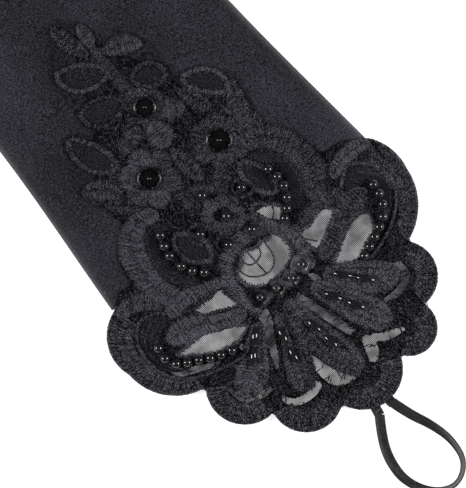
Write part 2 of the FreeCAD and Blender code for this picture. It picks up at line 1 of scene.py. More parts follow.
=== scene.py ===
"""Looks of the fingerless satin opera glove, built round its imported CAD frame.

Lace is drawn in millimetres about the fan's hub, x across the hand and y towards the arm,
and the satin tube in millimetres of the row frame. Both are turned into metres last.
"""
import json
import math
import bpy
import numpy as np
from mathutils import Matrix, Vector


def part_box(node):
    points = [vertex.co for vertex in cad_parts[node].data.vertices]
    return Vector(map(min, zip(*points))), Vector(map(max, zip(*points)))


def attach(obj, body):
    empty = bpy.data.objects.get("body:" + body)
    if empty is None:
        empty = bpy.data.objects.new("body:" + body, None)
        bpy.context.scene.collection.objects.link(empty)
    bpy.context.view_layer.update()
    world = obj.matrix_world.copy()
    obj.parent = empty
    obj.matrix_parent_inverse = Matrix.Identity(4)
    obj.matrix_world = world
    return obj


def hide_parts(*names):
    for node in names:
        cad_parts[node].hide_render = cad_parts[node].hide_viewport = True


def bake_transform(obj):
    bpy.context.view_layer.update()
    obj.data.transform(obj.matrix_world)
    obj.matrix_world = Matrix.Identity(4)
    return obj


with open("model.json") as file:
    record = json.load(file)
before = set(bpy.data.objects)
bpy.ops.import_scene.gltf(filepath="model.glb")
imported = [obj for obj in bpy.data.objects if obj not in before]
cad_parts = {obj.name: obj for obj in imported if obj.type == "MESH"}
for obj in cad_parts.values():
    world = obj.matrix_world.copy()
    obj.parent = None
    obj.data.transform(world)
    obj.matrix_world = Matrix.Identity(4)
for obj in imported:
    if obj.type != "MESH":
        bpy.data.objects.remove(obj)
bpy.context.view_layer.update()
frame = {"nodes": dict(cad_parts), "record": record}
MM = 0.001
RNG = np.random.default_rng(17)


def cad_box(name):
    """The lowest and highest corner of a CAD node, in row millimetres."""
    return [np.array(corner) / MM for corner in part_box(name)]


# ---------------- places and heights, worked out from the frame where it has them
JOINTS = {j["name"]: j for j in frame["record"]["behaviour"]["joints"]}
FOLD = np.array(JOINTS["fan_fold"]["pos_m"]) / MM
FOLD_AXIS = np.array(JOINTS["fan_fold"]["axis"])
FOLD_LINE = 23.7                       # the fold's distance from the hub
HUB = np.array([FOLD[0], FOLD[1] - FOLD_LINE])
SLANT = -FOLD_AXIS[1] / FOLD_AXIS[0]   # the hand hem's slope
HEM_LINE = -HUB[1]                     # the hem's distance from the hub
TUBE_HIGH = cad_box("satin_back_panel")[1]
ARM_END = TUBE_HIGH[1]
RISE = 0.0175                          # the tube's gain in height for each millimetre along the arm
HEM_TOP = TUBE_HIGH[2] - RISE * ARM_END
STATION_ALONG = [0.0, 57.0, 100.0, 230.0, ARM_END]
STATION_HALF = [44.2, 39.5, 38.5, 49.0, TUBE_HIGH[0]]
SKEW_END = 100                         # the tube's rows slant with the hem and are straight from here on
SIDE_POWER = 20                        # the higher it is, the squarer the tube's section
PALM_TOP = 0.3                         # the tube's lower inside
# The underside of the net above the table: at the fold, the fan's tip, the tube's sides and at its lowest.
FOLD_TOP, TIP_HEIGHT, SIDE_HEIGHT, FAN_FLOOR = FOLD[2] - 0.5, 1.0, 0.5, 0.4
TIP_LINE = -34.5
NET_GAP = 0.15                         # from the satin to the net
WING_START, WING_DROOP = 35, 0.0075    # the fan's wings sink by the square of the distance past here
NET_THICK = 0.3
STITCH_FLOOR = 0.32                    # stitches and padding stand on the net


def smooth_step(value, low, high):
    """0 below low and 1 above high, with a smooth rise between."""
    t = np.clip((value - low) / (high - low), 0, 1)
    return t * t * (3 - 2 * t)


# ---------------- surfaces
def half_width(along):
    """Half the tube's width laid flat, a smooth curve through the CAD stations."""
    slopes = np.gradient(STATION_HALF, STATION_ALONG)
    along = np.clip(np.asarray(along, float), 0, ARM_END)
    k = np.clip(np.searchsorted(STATION_ALONG, along, side="right") - 1, 0, len(STATION_ALONG) - 2)
    x, y = np.array(STATION_ALONG), np.array(STATION_HALF)
    span = x[k + 1] - x[k]
    t = (along - x[k]) / span
    first = (2 * t**3 - 3 * t**2 + 1) * y[k] + (t**3 - 2 * t**2 + t) * span * slopes[k]
    return first + (-2 * t**3 + 3 * t**2) * y[k + 1] + (t**3 - t**2) * span * slopes[k + 1]


def side_fall(share):
    """1 on the level top of the tube, falling to 0 at its folded side."""
    return np.sqrt(np.clip(1 - np.abs(share) ** SIDE_POWER, 0, 1))


def drape(x, y):
    """Underside of the net above the table, about the hub."""
    x, y = np.asarray(x, float), np.asarray(y, float)
    along = y + SLANT * x
    across = x + HUB[0]
    level = HEM_TOP + NET_GAP + RISE * np.maximum(along - HEM_LINE, 0)
    hand = SIDE_HEIGHT + (level - SIDE_HEIGHT) * side_fall(across / half_width(along - HEM_LINE))
    reach = (along - TIP_LINE) / (FOLD_LINE - TIP_LINE)
    droop = WING_DROOP * np.maximum(np.abs(x) - WING_START, 0) ** 2
    fan = np.maximum(TIP_HEIGHT + reach * (FOLD_TOP - TIP_HEIGHT) - droop, FAN_FLOOR)
    share = smooth_step(along, FOLD_LINE - 1.5, HEM_LINE + 0.5)
    return fan + (hand - fan) * share


def laid(flat, lift):
    """Points in the plan raised to a height over the underside of the draped net."""
    z = drape(flat[..., 0], flat[..., 1]) + lift
    return np.concatenate([flat, z[..., None]], -1)


def to_row(points):
    """Lace millimetres about the hub to metres in the row frame."""
    out = np.array(points, float)
    out[..., 0] += HUB[0]
    out[..., 1] += HUB[1]
    return out * MM


# ---------------- directions and curves
def unit(ways):
    """The same directions with length 1."""
    return ways / np.maximum(np.linalg.norm(ways, axis=-1, keepdims=True), 1e-9)


def across_and_up(ahead):
    """The level way across each direction, and the way up from it."""
    side = unit(np.cross(ahead, [0, 0, 1.0]))
    return side, np.cross(side, ahead)


def circle(count):
    """Angles spaced evenly round a turn."""
    return np.arange(count) * 2 * math.pi / count


def between(first, second, t):
    """Points at shares t of the way from each point of one line to its partner on another."""
    return first[:, None] + (second - first)[:, None] * t[..., None]


def smooth_line(points, step=0.5, closed=False):
    """A Catmull-Rom curve through rows of numbers, sampled about every step along x and y."""
    p = np.array(points, float)
    p = np.vstack([p[-1], p, p[0], p[1]]) if closed else np.vstack([2 * p[0] - p[1], p, 2 * p[-1] - p[-2]])
    rows = []
    for a, b, c, d in zip(p, p[1:], p[2:], p[3:]):
        count = max(2, int(np.linalg.norm((c - b)[:2]) / step))
        t = np.arange(count)[:, None] / count
        bend = 2 * b + (c - a) * t + (2 * a - 5 * b + 4 * c - d) * t**2 + (3 * b - a - 3 * c + d) * t**3
        rows.append(bend / 2)
    if not closed:
        rows.append(p[-2][None])
    return np.vstack(rows)


def arc_centre(start, middle, end):
    """Centre of the circle through three points."""
    (ax, ay), (bx, by), (cx, cy) = start, middle, end
    d = 2 * (ax * (by - cy) + bx * (cy - ay) + cx * (ay - by))
    ux = (ax**2 + ay**2) * (by - cy) + (bx**2 + by**2) * (cy - ay) + (cx**2 + cy**2) * (ay - by)
    uy = (ax**2 + ay**2) * (cx - bx) + (bx**2 + by**2) * (ax - cx) + (cx**2 + cy**2) * (bx - ax)
    return np.array([ux / d, uy / d])


def arc_line(start, middle, end, step=0.5):
    """Points along the arc from start through middle to end, and its centre."""
    centre = arc_centre(start, middle, end)
    angles = [math.atan2(p[1] - centre[1], p[0] - centre[0]) for p in (start, middle, end)]
    turn = (angles[2] - angles[0]) % (2 * math.pi)
    if (angles[1] - angles[0]) % (2 * math.pi) > turn:
        turn -= 2 * math.pi
    radius = math.dist(start, centre)
    count = max(4, int(abs(turn) * radius / step))
    a = angles[0] + turn * np.linspace(0, 1, count + 1)
    return centre + radius * np.column_stack([np.cos(a), np.sin(a)]), centre


def run_length(line, axes=2):
    """Length run at each point of a line, in the plan unless three axes are asked for."""
    return np.r_[0, np.cumsum(np.linalg.norm(np.diff(line[:, :axes], axis=0), axis=1))]


def sides(line):
    """Both edges of a band whose rows are x, y and full width."""
    ahead = unit(np.gradient(line[:, :2], axis=0))
    normal = np.column_stack([-ahead[:, 1], ahead[:, 0]])
    half = line[:, 2:3] / 2
    return line[:, :2] + normal * half, line[:, :2] - normal * half


def inside(points, ring):
    """Which points lie inside a closed ring."""
    x, y = points[:, 0], points[:, 1]
    hit = np.zeros(len(points), bool)
    for (ax, ay), (bx, by) in zip(ring, np.roll(ring, -1, axis=0)):
        if ay == by:
            continue
        crossing = (ay > y) != (by > y)
        hit ^= crossing & (x < (bx - ax) * (y - ay) / (by - ay) + ax)
    return hit


# ---------------- mesh making
class Shape:
    """Vertices and faces gathered from grids and threads, in lace or row millimetres."""

    def __init__(self):
        self.verts, self.faces, self.slots, self.tones = [], [], [], []
        self.count = 0

    def add(self, verts, faces, slot=0, tone=0.4):
        self.verts.append(np.asarray(verts, float).reshape(-1, 3))
        faces = np.asarray(faces) + self.count
        self.faces.append(faces)
        self.slots.append(np.full(len(faces), slot))
        self.tones.append(np.broadcast_to(tone, len(faces)))
        self.count += len(self.verts[-1])

    def grid(self, points, slot=0, wrap=False, loop=False):
        """A surface from rows of points; wrap joins its columns round, and loop its rows."""
        rows, columns = points.shape[:2]
        at = np.arange(rows * columns).reshape(rows, columns)
        if wrap:
            at = np.column_stack([at, at[:, :1]])
        if loop:
            at = np.vstack([at, at[:1]])
        quads = np.stack([at[:-1, :-1], at[:-1, 1:], at[1:, 1:], at[1:, :-1]], -1)
        self.add(points, quads.reshape(-1, 4), slot)

    def slab(self, top, bottom, slot=0):
        """A closed sheet between two grids of the same size."""
        rows, columns = top.shape[:2]
        around = np.concatenate([top, bottom[:, ::-1]], axis=1)
        at = np.arange(rows * 2 * columns).reshape(rows, 2 * columns)
        at = np.column_stack([at, at[:, :1]])
        quads = np.stack([at[:-1, :-1], at[1:, :-1], at[1:, 1:], at[:-1, 1:]], -1).reshape(-1, 4)
        upper, lower = at[:, :columns], at[:, columns:-1][:, ::-1]
        first = np.stack([upper[0, :-1], upper[0, 1:], lower[0, 1:], lower[0, :-1]], -1)
        last = np.stack([upper[-1, 1:], upper[-1, :-1], lower[-1, :-1], lower[-1, 1:]], -1)
        self.add(around, np.vstack([quads, first, last]), slot)

    def threads(self, runs, half=0.19, height=0.17, taper=0.55, slot=0, tones=(0.0, 1.0)):
        """Short closed threads; runs has the points of each thread's underside."""
        count, points = runs.shape[:2]
        ahead = unit(np.gradient(runs[:, :, :2], axis=1))
        side = np.stack([-ahead[:, :, 1], ahead[:, :, 0], np.zeros((count, points))], -1)
        end = np.ones(points)
        end[[0, -1]] = taper
        half = np.broadcast_to(np.asarray(half, float).reshape(-1, 1), (count, 1)) * end
        profile = [(-1, 0), (-0.55, 1), (0.55, 1), (1, 0)]
        up = np.array([0, 0, height]) * end[:, None]
        verts = np.stack([runs + side * (half * a)[:, :, None] + up * b for a, b in profile], axis=2)
        at = np.arange(count * points * 4).reshape(count, points, 4)
        ahead4 = np.roll(at, -1, axis=2)
        quads = np.stack([at[:, :-1], ahead4[:, :-1], ahead4[:, 1:], at[:, 1:]], -1).reshape(-1, 4)
        caps = np.vstack([at[:, 0, ::-1], at[:, -1]])
        tone = RNG.uniform(*tones, count)
        tone = np.concatenate([np.repeat(tone, 4 * (points - 1)), tone, tone])
        self.add(verts, np.vstack([quads, caps]), slot, tone)

    def tube(self, line, radius, sides_count=8, slot=0, closed=False):
        """A round tube along points in space."""
        ahead = np.gradient(line, axis=0)
        if closed:
            ahead = np.roll(line, -1, axis=0) - np.roll(line, 1, axis=0)
        side, up = across_and_up(unit(ahead))
        spin = circle(sides_count)[:, None]
        rings = line[:, None] + (side[:, None] * np.cos(spin) + up[:, None] * np.sin(spin)) * radius
        self.grid(rings, slot, wrap=True, loop=closed)
        if closed:
            return
        order = np.arange(sides_count)
        for end, rim in ((rings[0], order[::-1]), (rings[-1], order)):
            fan = np.stack([rim, np.roll(rim, -1), np.full(sides_count, sides_count)], -1)
            self.add(np.vstack([end, end.mean(axis=0)]), fan, slot)

    def close(self, rings, slot=0):
        """Flat faces over the first and last ring of a grid."""
        order = list(range(rings.shape[1]))
        self.add(rings[0], [order[::-1]], slot)
        self.add(rings[-1], [order], slot)

    def build(self, name, materials, lace=True, smooth=True):
        """One object from everything gathered, drawn about the hub unless lace is False."""
        verts = np.vstack(self.verts)
        verts = to_row(verts) if lace else verts * MM
        mesh = bpy.data.meshes.new(name)
        faces = [face for block in self.faces for face in block.tolist()]
        mesh.from_pydata(verts.tolist(), [], faces)
        mesh.polygons.foreach_set("material_index", np.concatenate(self.slots).astype(np.int32))
        mesh.polygons.foreach_set("use_smooth", np.full(len(faces), smooth))
        tone = mesh.attributes.new("tone", "FLOAT", "FACE")
        tone.data.foreach_set("value", np.concatenate(self.tones).astype(np.float32))
        for material in materials:
            mesh.materials.append(material)
        mesh.validate()
        mesh.update()
        return show(name, mesh)

    def piece(self, name, materials, body, slot, nodes=(), **form):
        """The built object, riding on a body, or, if body is "both", lying across the hand and the fan with
        its placement applied and no body to ride on.
        """
        made = self.build(name, materials, **form)
        if body == "both":
            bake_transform(made)
        else:
            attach(made, body)
        if nodes:
            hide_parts(*nodes)
        return made


def show(name, data):
    """A new object in the scene."""
    made = bpy.data.objects.new(name, data)
    bpy.context.scene.collection.objects.link(made)
    return made


# ---------------- materials
def fill(material, made, settings):
    """Set or link a node's inputs and properties; names use _ for spaces."""
    for key, value in settings.items():
        plain = key.replace("_", " ")
        if isinstance(value, bpy.types.NodeSocket):
            material.node_tree.links.new(value, made.inputs[plain])
        elif plain in made.inputs:
            made.inputs[plain].default_value = value
        else:
            setattr(made, key, value)
    return made


def node(material, kind, **settings):
    return fill(material, material.node_tree.nodes.new(kind), settings)


def shade(material, **settings):
    """Set or link inputs of the material's Principled shader."""
    fill(material, material.node_tree.nodes["Principled BSDF"], settings)


def new_material(name, **settings):
    material = bpy.data.materials.new(name)
    material.use_nodes = True
    shade(material, **settings)
    return material


def noise(material, scale, detail=2.0, stretch=(1, 1, 1)):
    """Noise in object space, so that it has a real size; scale is per metre."""
    place = node(material, "ShaderNodeTexCoord").outputs["Object"]
    mapped = node(material, "ShaderNodeMapping", Vector=place, Scale=stretch).outputs["Vector"]
    return node(material, "ShaderNodeTexNoise", Vector=mapped, Scale=scale, Detail=detail).outputs["Fac"]


def weighted_sum(material, first, weight, second):
    """First times weight, plus second."""
    total = node(material, "ShaderNodeMath", operation="MULTIPLY_ADD")
    material.node_tree.links.new(first, total.inputs[0])
    total.inputs[1].default_value = weight
    material.node_tree.links.new(second, total.inputs[2])
    return total.outputs["Value"]


def face_tone(material):
    """The tone that the mesh gives each face: random from thread to thread, and painted light and shade on
    the sequins' facets.
    """
    return node(material, "ShaderNodeAttribute", attribute_name="tone").outputs["Fac"]


def map_range(material, source, **limits):
    return node(material, "ShaderNodeMapRange", Value=source, **limits).outputs["Result"]


def colour_between(material, factor, dark, light, low=0.35, high=0.65):
    """Base colour, dark where the factor is low and light where it is high."""
    ramp = node(material, "ShaderNodeValToRGB", Fac=factor)
    for end, position, colour in zip(ramp.color_ramp.elements, (low, high), (dark, light)):
        end.position = position
        end.color = (*colour, 1)
    shade(material, Base_Color=ramp.outputs["Color"])


def bump(material, factors, strength, distance):
    """Bump from one or more heights, one after the other."""
    under = {}
    for factor in factors:
        made = node(material, "ShaderNodeBump", Height=factor, Strength=strength, Distance=distance, **under)
        under = {"Normal": made.outputs["Normal"]}
    shade(material, **under)


def satin_material():
    """Black polyester satin: a soft sheen broken by a fine mottled grain, with broad painted light and shade
    of soft folds in its colour.
    """
    made = new_material("black_satin", Roughness=0.56, Specular_IOR_Level=0.2)
    grain = noise(made, 4300, 1.5, (0.42, 1.0, 1.0))
    # The broad noise clouds are painted light and shade standing in for soft folds; the fine noise is the
    # satin's own grain.
    grain_and_fold_shade = weighted_sum(made, noise(made, 34, 1.0), 0.30, grain)
    colour_between(made, grain_and_fold_shade, (0.0008, 0.0008, 0.0016), (0.056, 0.053, 0.072), low=0.565, high=0.785)
    shade(made, Roughness=map_range(made, noise(made, 70, 2.0), To_Min=0.50, To_Max=0.64))
    bump(made, [grain, noise(made, 420, 2.0)], 0.45, 0.00018)
    return made


def thread_material(name, dark, light):
    """Rayon embroidery thread: glossy along its curve, uneven in tone from strand to strand."""
    made = new_material(name, Roughness=0.5, Specular_IOR_Level=0.1)
    strand = weighted_sum(made, face_tone(made), 0.20, noise(made, 3300, 2.0))
    colour_between(made, strand, dark, light, low=0.53, high=0.77)
    shade(made, Roughness=map_range(made, noise(made, 260, 1.0), To_Min=0.42, To_Max=0.58))
    bump(made, [noise(made, 5200, 1.0)], 0.3, 0.00006)
    return made


def net_material():
    """Fine hexagonal tulle: opaque threads round see-through cells."""
    made = new_material("black_tulle", Roughness=0.9, Specular_IOR_Level=0.1)
    dark, light = (0.006, 0.006, 0.008), (0.044, 0.043, 0.057)
    colour_between(made, noise(made, 1500, 3.0), dark, light, low=0.38, high=0.66)
    flat = node(made, "ShaderNodeTexCoord").outputs["UV"]
    cells = node(made, "ShaderNodeTexVoronoi", feature="DISTANCE_TO_EDGE", voronoi_dimensions="2D",
                 Vector=flat, Scale=2300.0, Randomness=0.12)
    to_thread = cells.outputs["Distance"]
    cloud = map_range(made, noise(made, 190, 2.0), From_Min=0.35, From_Max=0.65, To_Min=0.42, To_Max=0.78)
    shade(made, Alpha=map_range(made, to_thread, From_Min=0.06, From_Max=0.20, To_Min=0.95, To_Max=cloud))
    bump(made, [to_thread], 0.3, 0.0001)
    return made


def bead_material(name, tone, roughness):
    """Polished glass or plastic under a clear gloss."""
    made = new_material(name, Roughness=roughness, Specular_IOR_Level=0.6, Coat_Weight=0.6,
                        Coat_Roughness=0.03)
    colour_between(made, noise(made, 380, 2.0), tuple(c * 0.7 for c in tone), tone)
    bump(made, [noise(made, 500, 2.0)], 0.08, 0.0001)
    return made


def sequin_material():
    """Smoky see-through plastic, its facets lit and shaded by painted tones."""
    made = new_material("smoke_sequin", Roughness=0.2, Specular_IOR_Level=0.6)
    # Each face's tone is painted light and shade of the facets, brighter and darker side by side.
    facet = weighted_sum(made, face_tone(made), 0.8, noise(made, 300, 2.0))
    colour_between(made, facet, (0.002, 0.002, 0.004), (0.15, 0.15, 0.165), low=0.5, high=1.25)
    shade(made, Alpha=map_range(made, noise(made, 160, 1.0), To_Min=0.78, To_Max=0.92))
    return made


def stone_material():
    """Jet glass, near black."""
    made = new_material("jet_stone", Roughness=0.06, Specular_IOR_Level=0.4, Coat_Weight=0.25,
                        Coat_Roughness=0.02)
    colour_between(made, noise(made, 220, 2.0), (0.0004, 0.0004, 0.0007), (0.004, 0.004, 0.005))
    return made


def setting_material():
    """Dark plated metal, unevenly worn."""
    made = new_material("black_nickel", Metallic=1.0, Roughness=0.32)
    colour_between(made, noise(made, 500, 2.0), (0.05, 0.05, 0.055), (0.16, 0.16, 0.17))
    shade(made, Roughness=map_range(made, noise(made, 300, 2.0), To_Min=0.22, To_Max=0.42))
    return made


def ribbon_material():
    """Narrow satin ribbon with lengthwise grain."""
    made = new_material("satin_ribbon", Roughness=0.38, Specular_IOR_Level=0.5)
    grain = noise(made, 2400, 2.0, (1.0, 0.25, 1.0))
    colour_between(made, grain, (0.012, 0.012, 0.014), (0.036, 0.035, 0.042))
    bump(made, [grain], 0.25, 0.0001)
    return made


def elastic_material():
    """Ribbed knitted elastic."""
    made = new_material("knit_elastic", Roughness=0.75)
    ribs = noise(made, 1800, 1.0, (0.3, 1.0, 1.0))
    colour_between(made, ribs, (0.008, 0.008, 0.009), (0.03, 0.03, 0.032))
    bump(made, [ribs], 0.5, 0.0002)
    return made


def floor_material():
    """A white light table, so that little shadow shows."""
    made = new_material("light_table", Roughness=0.9, Emission_Color=(1, 1, 1, 1), Emission_Strength=0.8)
    colour_between(made, noise(made, 30, 2.0), (0.88, 0.88, 0.88), (0.92, 0.92, 0.92))
    return made


SATIN = satin_material()
THREAD = thread_material("rayon_thread", (0.002, 0.0019, 0.0028), (0.200, 0.196, 0.236))
HAND_THREAD = thread_material("dark_rayon_thread", (0.0008, 0.0008, 0.0013), (0.158, 0.155, 0.190))
PADDING = thread_material("underlay_thread", (0.001, 0.001, 0.0014), (0.005, 0.0049, 0.0062))
SMOOTH_INLAY = thread_material("flat_inlay", (0.004, 0.004, 0.006), (0.050, 0.048, 0.060))
NET = net_material()
PEARL = bead_material("jet_pearl", (0.014, 0.014, 0.017), 0.1)
RICE = bead_material("jet_rice_bead", (0.012, 0.012, 0.015), 0.08)
SEED = bead_material("smoke_seed_bead", (0.05, 0.05, 0.055), 0.12)
SEQUIN = sequin_material()
STONE = stone_material()
SETTING = setting_material()
RIBBON = ribbon_material()
ELASTIC = elastic_material()

# ---------------- camera
VIEW_TURN = math.radians(-40.13)       # the arm runs to the upper left
VIEW_CENTRE = HUB + np.array([-3.2, 29.6])
VIEW_HEIGHT = 1200.0
VIEW_TALL = 141.5                      # height of the picture on the table
IMAGE_RIGHT = np.array([math.cos(VIEW_TURN), math.sin(VIEW_TURN), 0.0])


def add_camera():
    data = bpy.data.cameras.new("camera")
    data.angle = 2 * math.atan(VIEW_TALL / 2 / VIEW_HEIGHT)
    data.clip_start = 0.05
    camera = show("camera", data)
    camera.location = (*(VIEW_CENTRE * MM), VIEW_HEIGHT * MM)
    camera.rotation_euler = (0, 0, VIEW_TURN)
    bpy.context.scene.camera = camera


# ---------------- finger loop
RIBBON_WIDTH = 3.0
RIBBON_LOW = 0.45                      # the flat ribbon's centre above the table
# The loop's route about the hub; the ribbon stands on its edge where z is highest.
LOOP_ROUTE = [
    (-2.6, -35.6, 0.45), (-6.3, -41.0, 0.50), (-9.0, -47.6, 0.62), (-9.4, -55.4, 1.10),
    (-5.4, -62.4, 1.75), (1.2, -65.9, 1.85), (7.6, -62.2, 1.80), (8.8, -54.6, 1.60),
    (7.0, -47.2, 1.25), (4.1, -41.0, 0.70), (2.6, -35.4, 0.45),
]
# Across and through the ribbon's upper side, with its rolled woven edges; the lower side is it turned over.
RIBBON_UPPER = [(-1.5, 0.0), (-1.42, 0.17), (-1.22, 0.19), (-1.05, 0.11), (0.0, 0.13), (1.05, 0.11),
                (1.22, 0.19), (1.42, 0.17)]
RIBBON_PROFILE = RIBBON_UPPER + [(-across, -through) for across, through in RIBBON_UPPER]
ON_EDGE = 0.97                         # sine of the ribbon's steepest tilt
SEWN_ENDS = [(-2.2, 0.16), (2.3, -0.06)]    # x of each end, and its lean
TAIL_ROWS = (-34.4, -33.6, -29.4, -28.6)    # y of the stitches across it
TAIL_REACH, TAIL_STITCH_TOP = 1.1, 0.6


def spline_points(route):
    """Points read from the NURBS spline that has the route as its control points, in metres."""
    curve = bpy.data.curves.new("route", "CURVE")
    curve.dimensions = "3D"
    spline = curve.splines.new("NURBS")
    spline.points.add(len(route) - 1)
    for point, place in zip(spline.points, to_row(route)):
        point.co = (*place, 1)
    spline.order_u = 3
    spline.use_endpoint_u = True
    spline.resolution_u = 16
    holder = show("route", curve)
    bpy.context.view_layer.update()
    mesh = bpy.data.meshes.new_from_object(holder)
    points = np.array([vertex.co[:] for vertex in mesh.vertices])
    bpy.data.objects.remove(holder)
    bpy.data.curves.remove(curve)
    bpy.data.meshes.remove(mesh)
    return points


def ribbon_rings(line):
    """The ribbon's profile along a line in millimetres, tilted on edge as the line rises."""
    level, up = across_and_up(unit(np.gradient(line, axis=0)))
    tilt = np.arcsin(np.clip((line[:, 2] - RIBBON_LOW) / (RIBBON_WIDTH / 2), 0, ON_EDGE))[:, None]
    across = level * np.cos(tilt) + up * np.sin(tilt)
    through = up * np.cos(tilt) - level * np.sin(tilt)
    rings = [line + across * a + through * b for a, b in RIBBON_PROFILE]
    return np.stack(rings, axis=1)


def add_finger_loop():
    path = spline_points(LOOP_ROUTE)
    shape = Shape()
    rings = ribbon_rings(path / MM)
    shape.grid(rings, wrap=True)
    shape.close(rings)
    ribbon = shape.piece("loop_satin_ribbon", [RIBBON], "finger_loop", "ribbon", ["loop_ribbon"], lace=False)


def add_sewn_tails():
    """The ribbon's two ends, sewn flat under the fan's tip."""
    shape = Shape()
    for x, lean in SEWN_ENDS:
        route = [(x - lean * 3, -35.8), (x, -33.4), (x + lean * 3, -30.5), (x + lean * 4, -27.6)]
        line = smooth_line(route, 0.6)
        line = np.column_stack([line, np.full(len(line), RIBBON_LOW)])
        shape.grid(ribbon_rings(line), wrap=True)
        left, right = x - TAIL_REACH, x + TAIL_REACH
        rows = [np.linspace((left, y, TAIL_STITCH_TOP), (right, y, TAIL_STITCH_TOP), 5) for y in TAIL_ROWS]
        shape.threads(np.array(rows), half=0.14, height=0.14, slot=1)
    shape.piece("loop_tail_stitches", [RIBBON, THREAD], "lace_fan", "ribbon", ["loop_sewn_tails"])


# ---------------- satin tube
SATIN_THICK = 0.35
PALM_INSET = 0.45                      # the palm panel lies inside the back panel's edges
PALM_HEIGHTS = (0.42, 0.06)            # its upper and lower skin above the table
HEM_ROWS = (5.5, ARM_END - 18.0)       # where the hems are stitched
SEAM_HEIGHT = 0.62
SEAM_SHARE, SEAM_INSET = 0.9995, 0.25  # the side seams run just inside the folded sides
ALLOWANCE_WIDE, ALLOWANCE_THICK = 7.0, 0.5
ALLOWANCE_RISE = 0.75                  # its upper skin above the bottom of its CAD box
ALLOWANCE_GAP = 1.2                    # from the tube's side to the allowance
OVERCAST_REACH, OVERCAST_PAST = 3.0, 0.1    # its stitches' reach in from the cut edge, and past it
# Single pulls in the satin: x, y, the cosine and sine of the way across them, and depth.
SATIN_PULLS = [
    (-33, 20, 0.94, -0.34, -0.55), (-30, 42, 0.98, 0.20, 0.40), (33, 36, 0.90, 0.44, -0.45),
    (-26, 66, 0.80, -0.60, -0.45), (30, 60, 0.97, 0.26, 0.45), (-12, 104, 0.50, 0.87, -0.6),
    (22, 94, 0.87, -0.5, 0.6), (2, 130, 0.6, 0.8, 0.9), (-20, 128, 0.7, -0.71, -0.9),
    (20, 156, 0.5, -0.87, 1.0), (-16, 170, 0.6, 0.8, 0.9), (24, 196, 0.8, 0.6, -0.9),
    (-28, 212, 0.64, -0.77, 1.0), (4, 228, 0.34, 0.94, -0.8), (32, 250, 0.77, -0.64, 0.9),
    (-14, 268, 0.5, 0.87, 0.9), (14, 296, 0.64, 0.77, -0.9), (-32, 306, 0.87, -0.5, 0.8),
]
PULL_WIDE, PULL_LONG = 4.2, 26


def one_pull(x, y, at_x, at_y, c, s, depth):
    across = (x - at_x) * c + (y - at_y) * s
    along = (y - at_y) * c - (x - at_x) * s
    return depth * np.exp(-(across / PULL_WIDE) ** 2 - (along / PULL_LONG) ** 2)


def creases(x, y):
    """Soft pulls in the satin, calm under the lace and gathered by the elastic."""
    diagonal = np.sin((0.9 * x + 0.45 * y) / 7.5 + 1.3 * np.sin(y / 31))
    broad = np.sin((0.35 * x - y) / 14 + 1.1 * np.sin(x / 17))
    calm = 0.12 + 0.88 * smooth_step(y, 60, 120)
    pulls = sum(one_pull(x, y, *pull) for pull in SATIN_PULLS)
    gather = 0.45 * np.sin(x * 1.15 + 1.6 * np.sin(x / 4.3)) * np.exp((y - ARM_END) / 11)
    return (0.22 * diagonal + 0.30 * broad) * calm + pulls + gather


def skewed(x, along):
    """Row y of a point on the tube."""
    return along - x * SLANT * (1 - smooth_step(along, 0, SKEW_END))


def tube_top(share, along, inset=0.0):
    """Points of the tube's upper skin; share runs from -1 to 1 across it."""
    x = share * (half_width(along) - inset)
    fall = side_fall(share)
    hollow = HEM_TOP + RISE * along - PALM_TOP - 2 * inset
    z = PALM_TOP + inset + (hollow + creases(x, along)) * fall
    return np.stack([x, skewed(x, along), z], -1)


def tube_rows(low=0.0, high=ARM_END, step=1.5):
    return np.linspace(low, high, max(3, int((high - low) / step)))


def tube_columns(count):
    """Shares across the tube, closest together at its folded sides."""
    return np.sin(np.linspace(-math.pi / 2, math.pi / 2, count))


def add_back_panel():
    shape = Shape()
    share, along = np.meshgrid(tube_columns(121), tube_rows())
    shape.slab(tube_top(share, along), tube_top(share, along, SATIN_THICK))
    panel = shape.piece("satin_back_cloth", [SATIN], "sleeve", "satin", ["satin_back_panel"], lace=False)


def palm_skin(share, along, height):
    """The lower skin of the tube, faintly rippled."""
    x = share * (half_width(along) - PALM_INSET)
    y = skewed(x, along)
    ripple = 0.10 * (np.sin(x / 6 + y / 19) + np.sin(y / 9 - x / 23))
    return np.stack([x, y, height + np.maximum(ripple, 0) * side_fall(share)], -1)


def add_palm_panel():
    shape = Shape()
    share, along = np.meshgrid(np.linspace(-1, 1, 61), tube_rows(step=2.5))
    shape.slab(*(palm_skin(share, along, height) for height in PALM_HEIGHTS))
    panel = shape.piece("satin_palm_cloth", [SATIN], "sleeve", "satin", ["satin_palm_panel"], lace=False)


def running_stitches(line, length=2.0, gap=0.8):
    """Stitches laid end to end along a line of points in space."""
    run = run_length(line, 3)
    starts = np.arange(0, run[-1] - length, length + gap)
    at = starts[:, None] + np.linspace(0, length, 5)
    runs = np.stack([np.interp(at, run, line[:, k]) for k in range(3)], -1)
    runs[:, :, 2] += 0.10 * np.sin(np.linspace(0, math.pi, 5))
    return runs


def add_tube_seams():
    """Hem rows at both ends and the ridge of each side seam."""
    shape = Shape()
    for along in HEM_ROWS:
        share = np.linspace(-0.98, 0.98, 160)
        line = tube_top(share, np.full(len(share), along))
        line[:, 2] += 0.02
        shape.threads(running_stitches(line), half=0.15, height=0.15)
    for side in (-1, 1):
        along = tube_rows(1.0, ARM_END - 1.0, 3.0)
        line = tube_top(np.full(len(along), side * SEAM_SHARE), along)
        line[:, 0] -= side * SEAM_INSET
        line[:, 2] = SEAM_HEIGHT
        shape.threads(running_stitches(line, 1.8, 0.5), half=0.16, height=0.16)
    shape.piece("tube_seam_stitches", [THREAD], "sleeve", "satin", lace=False)


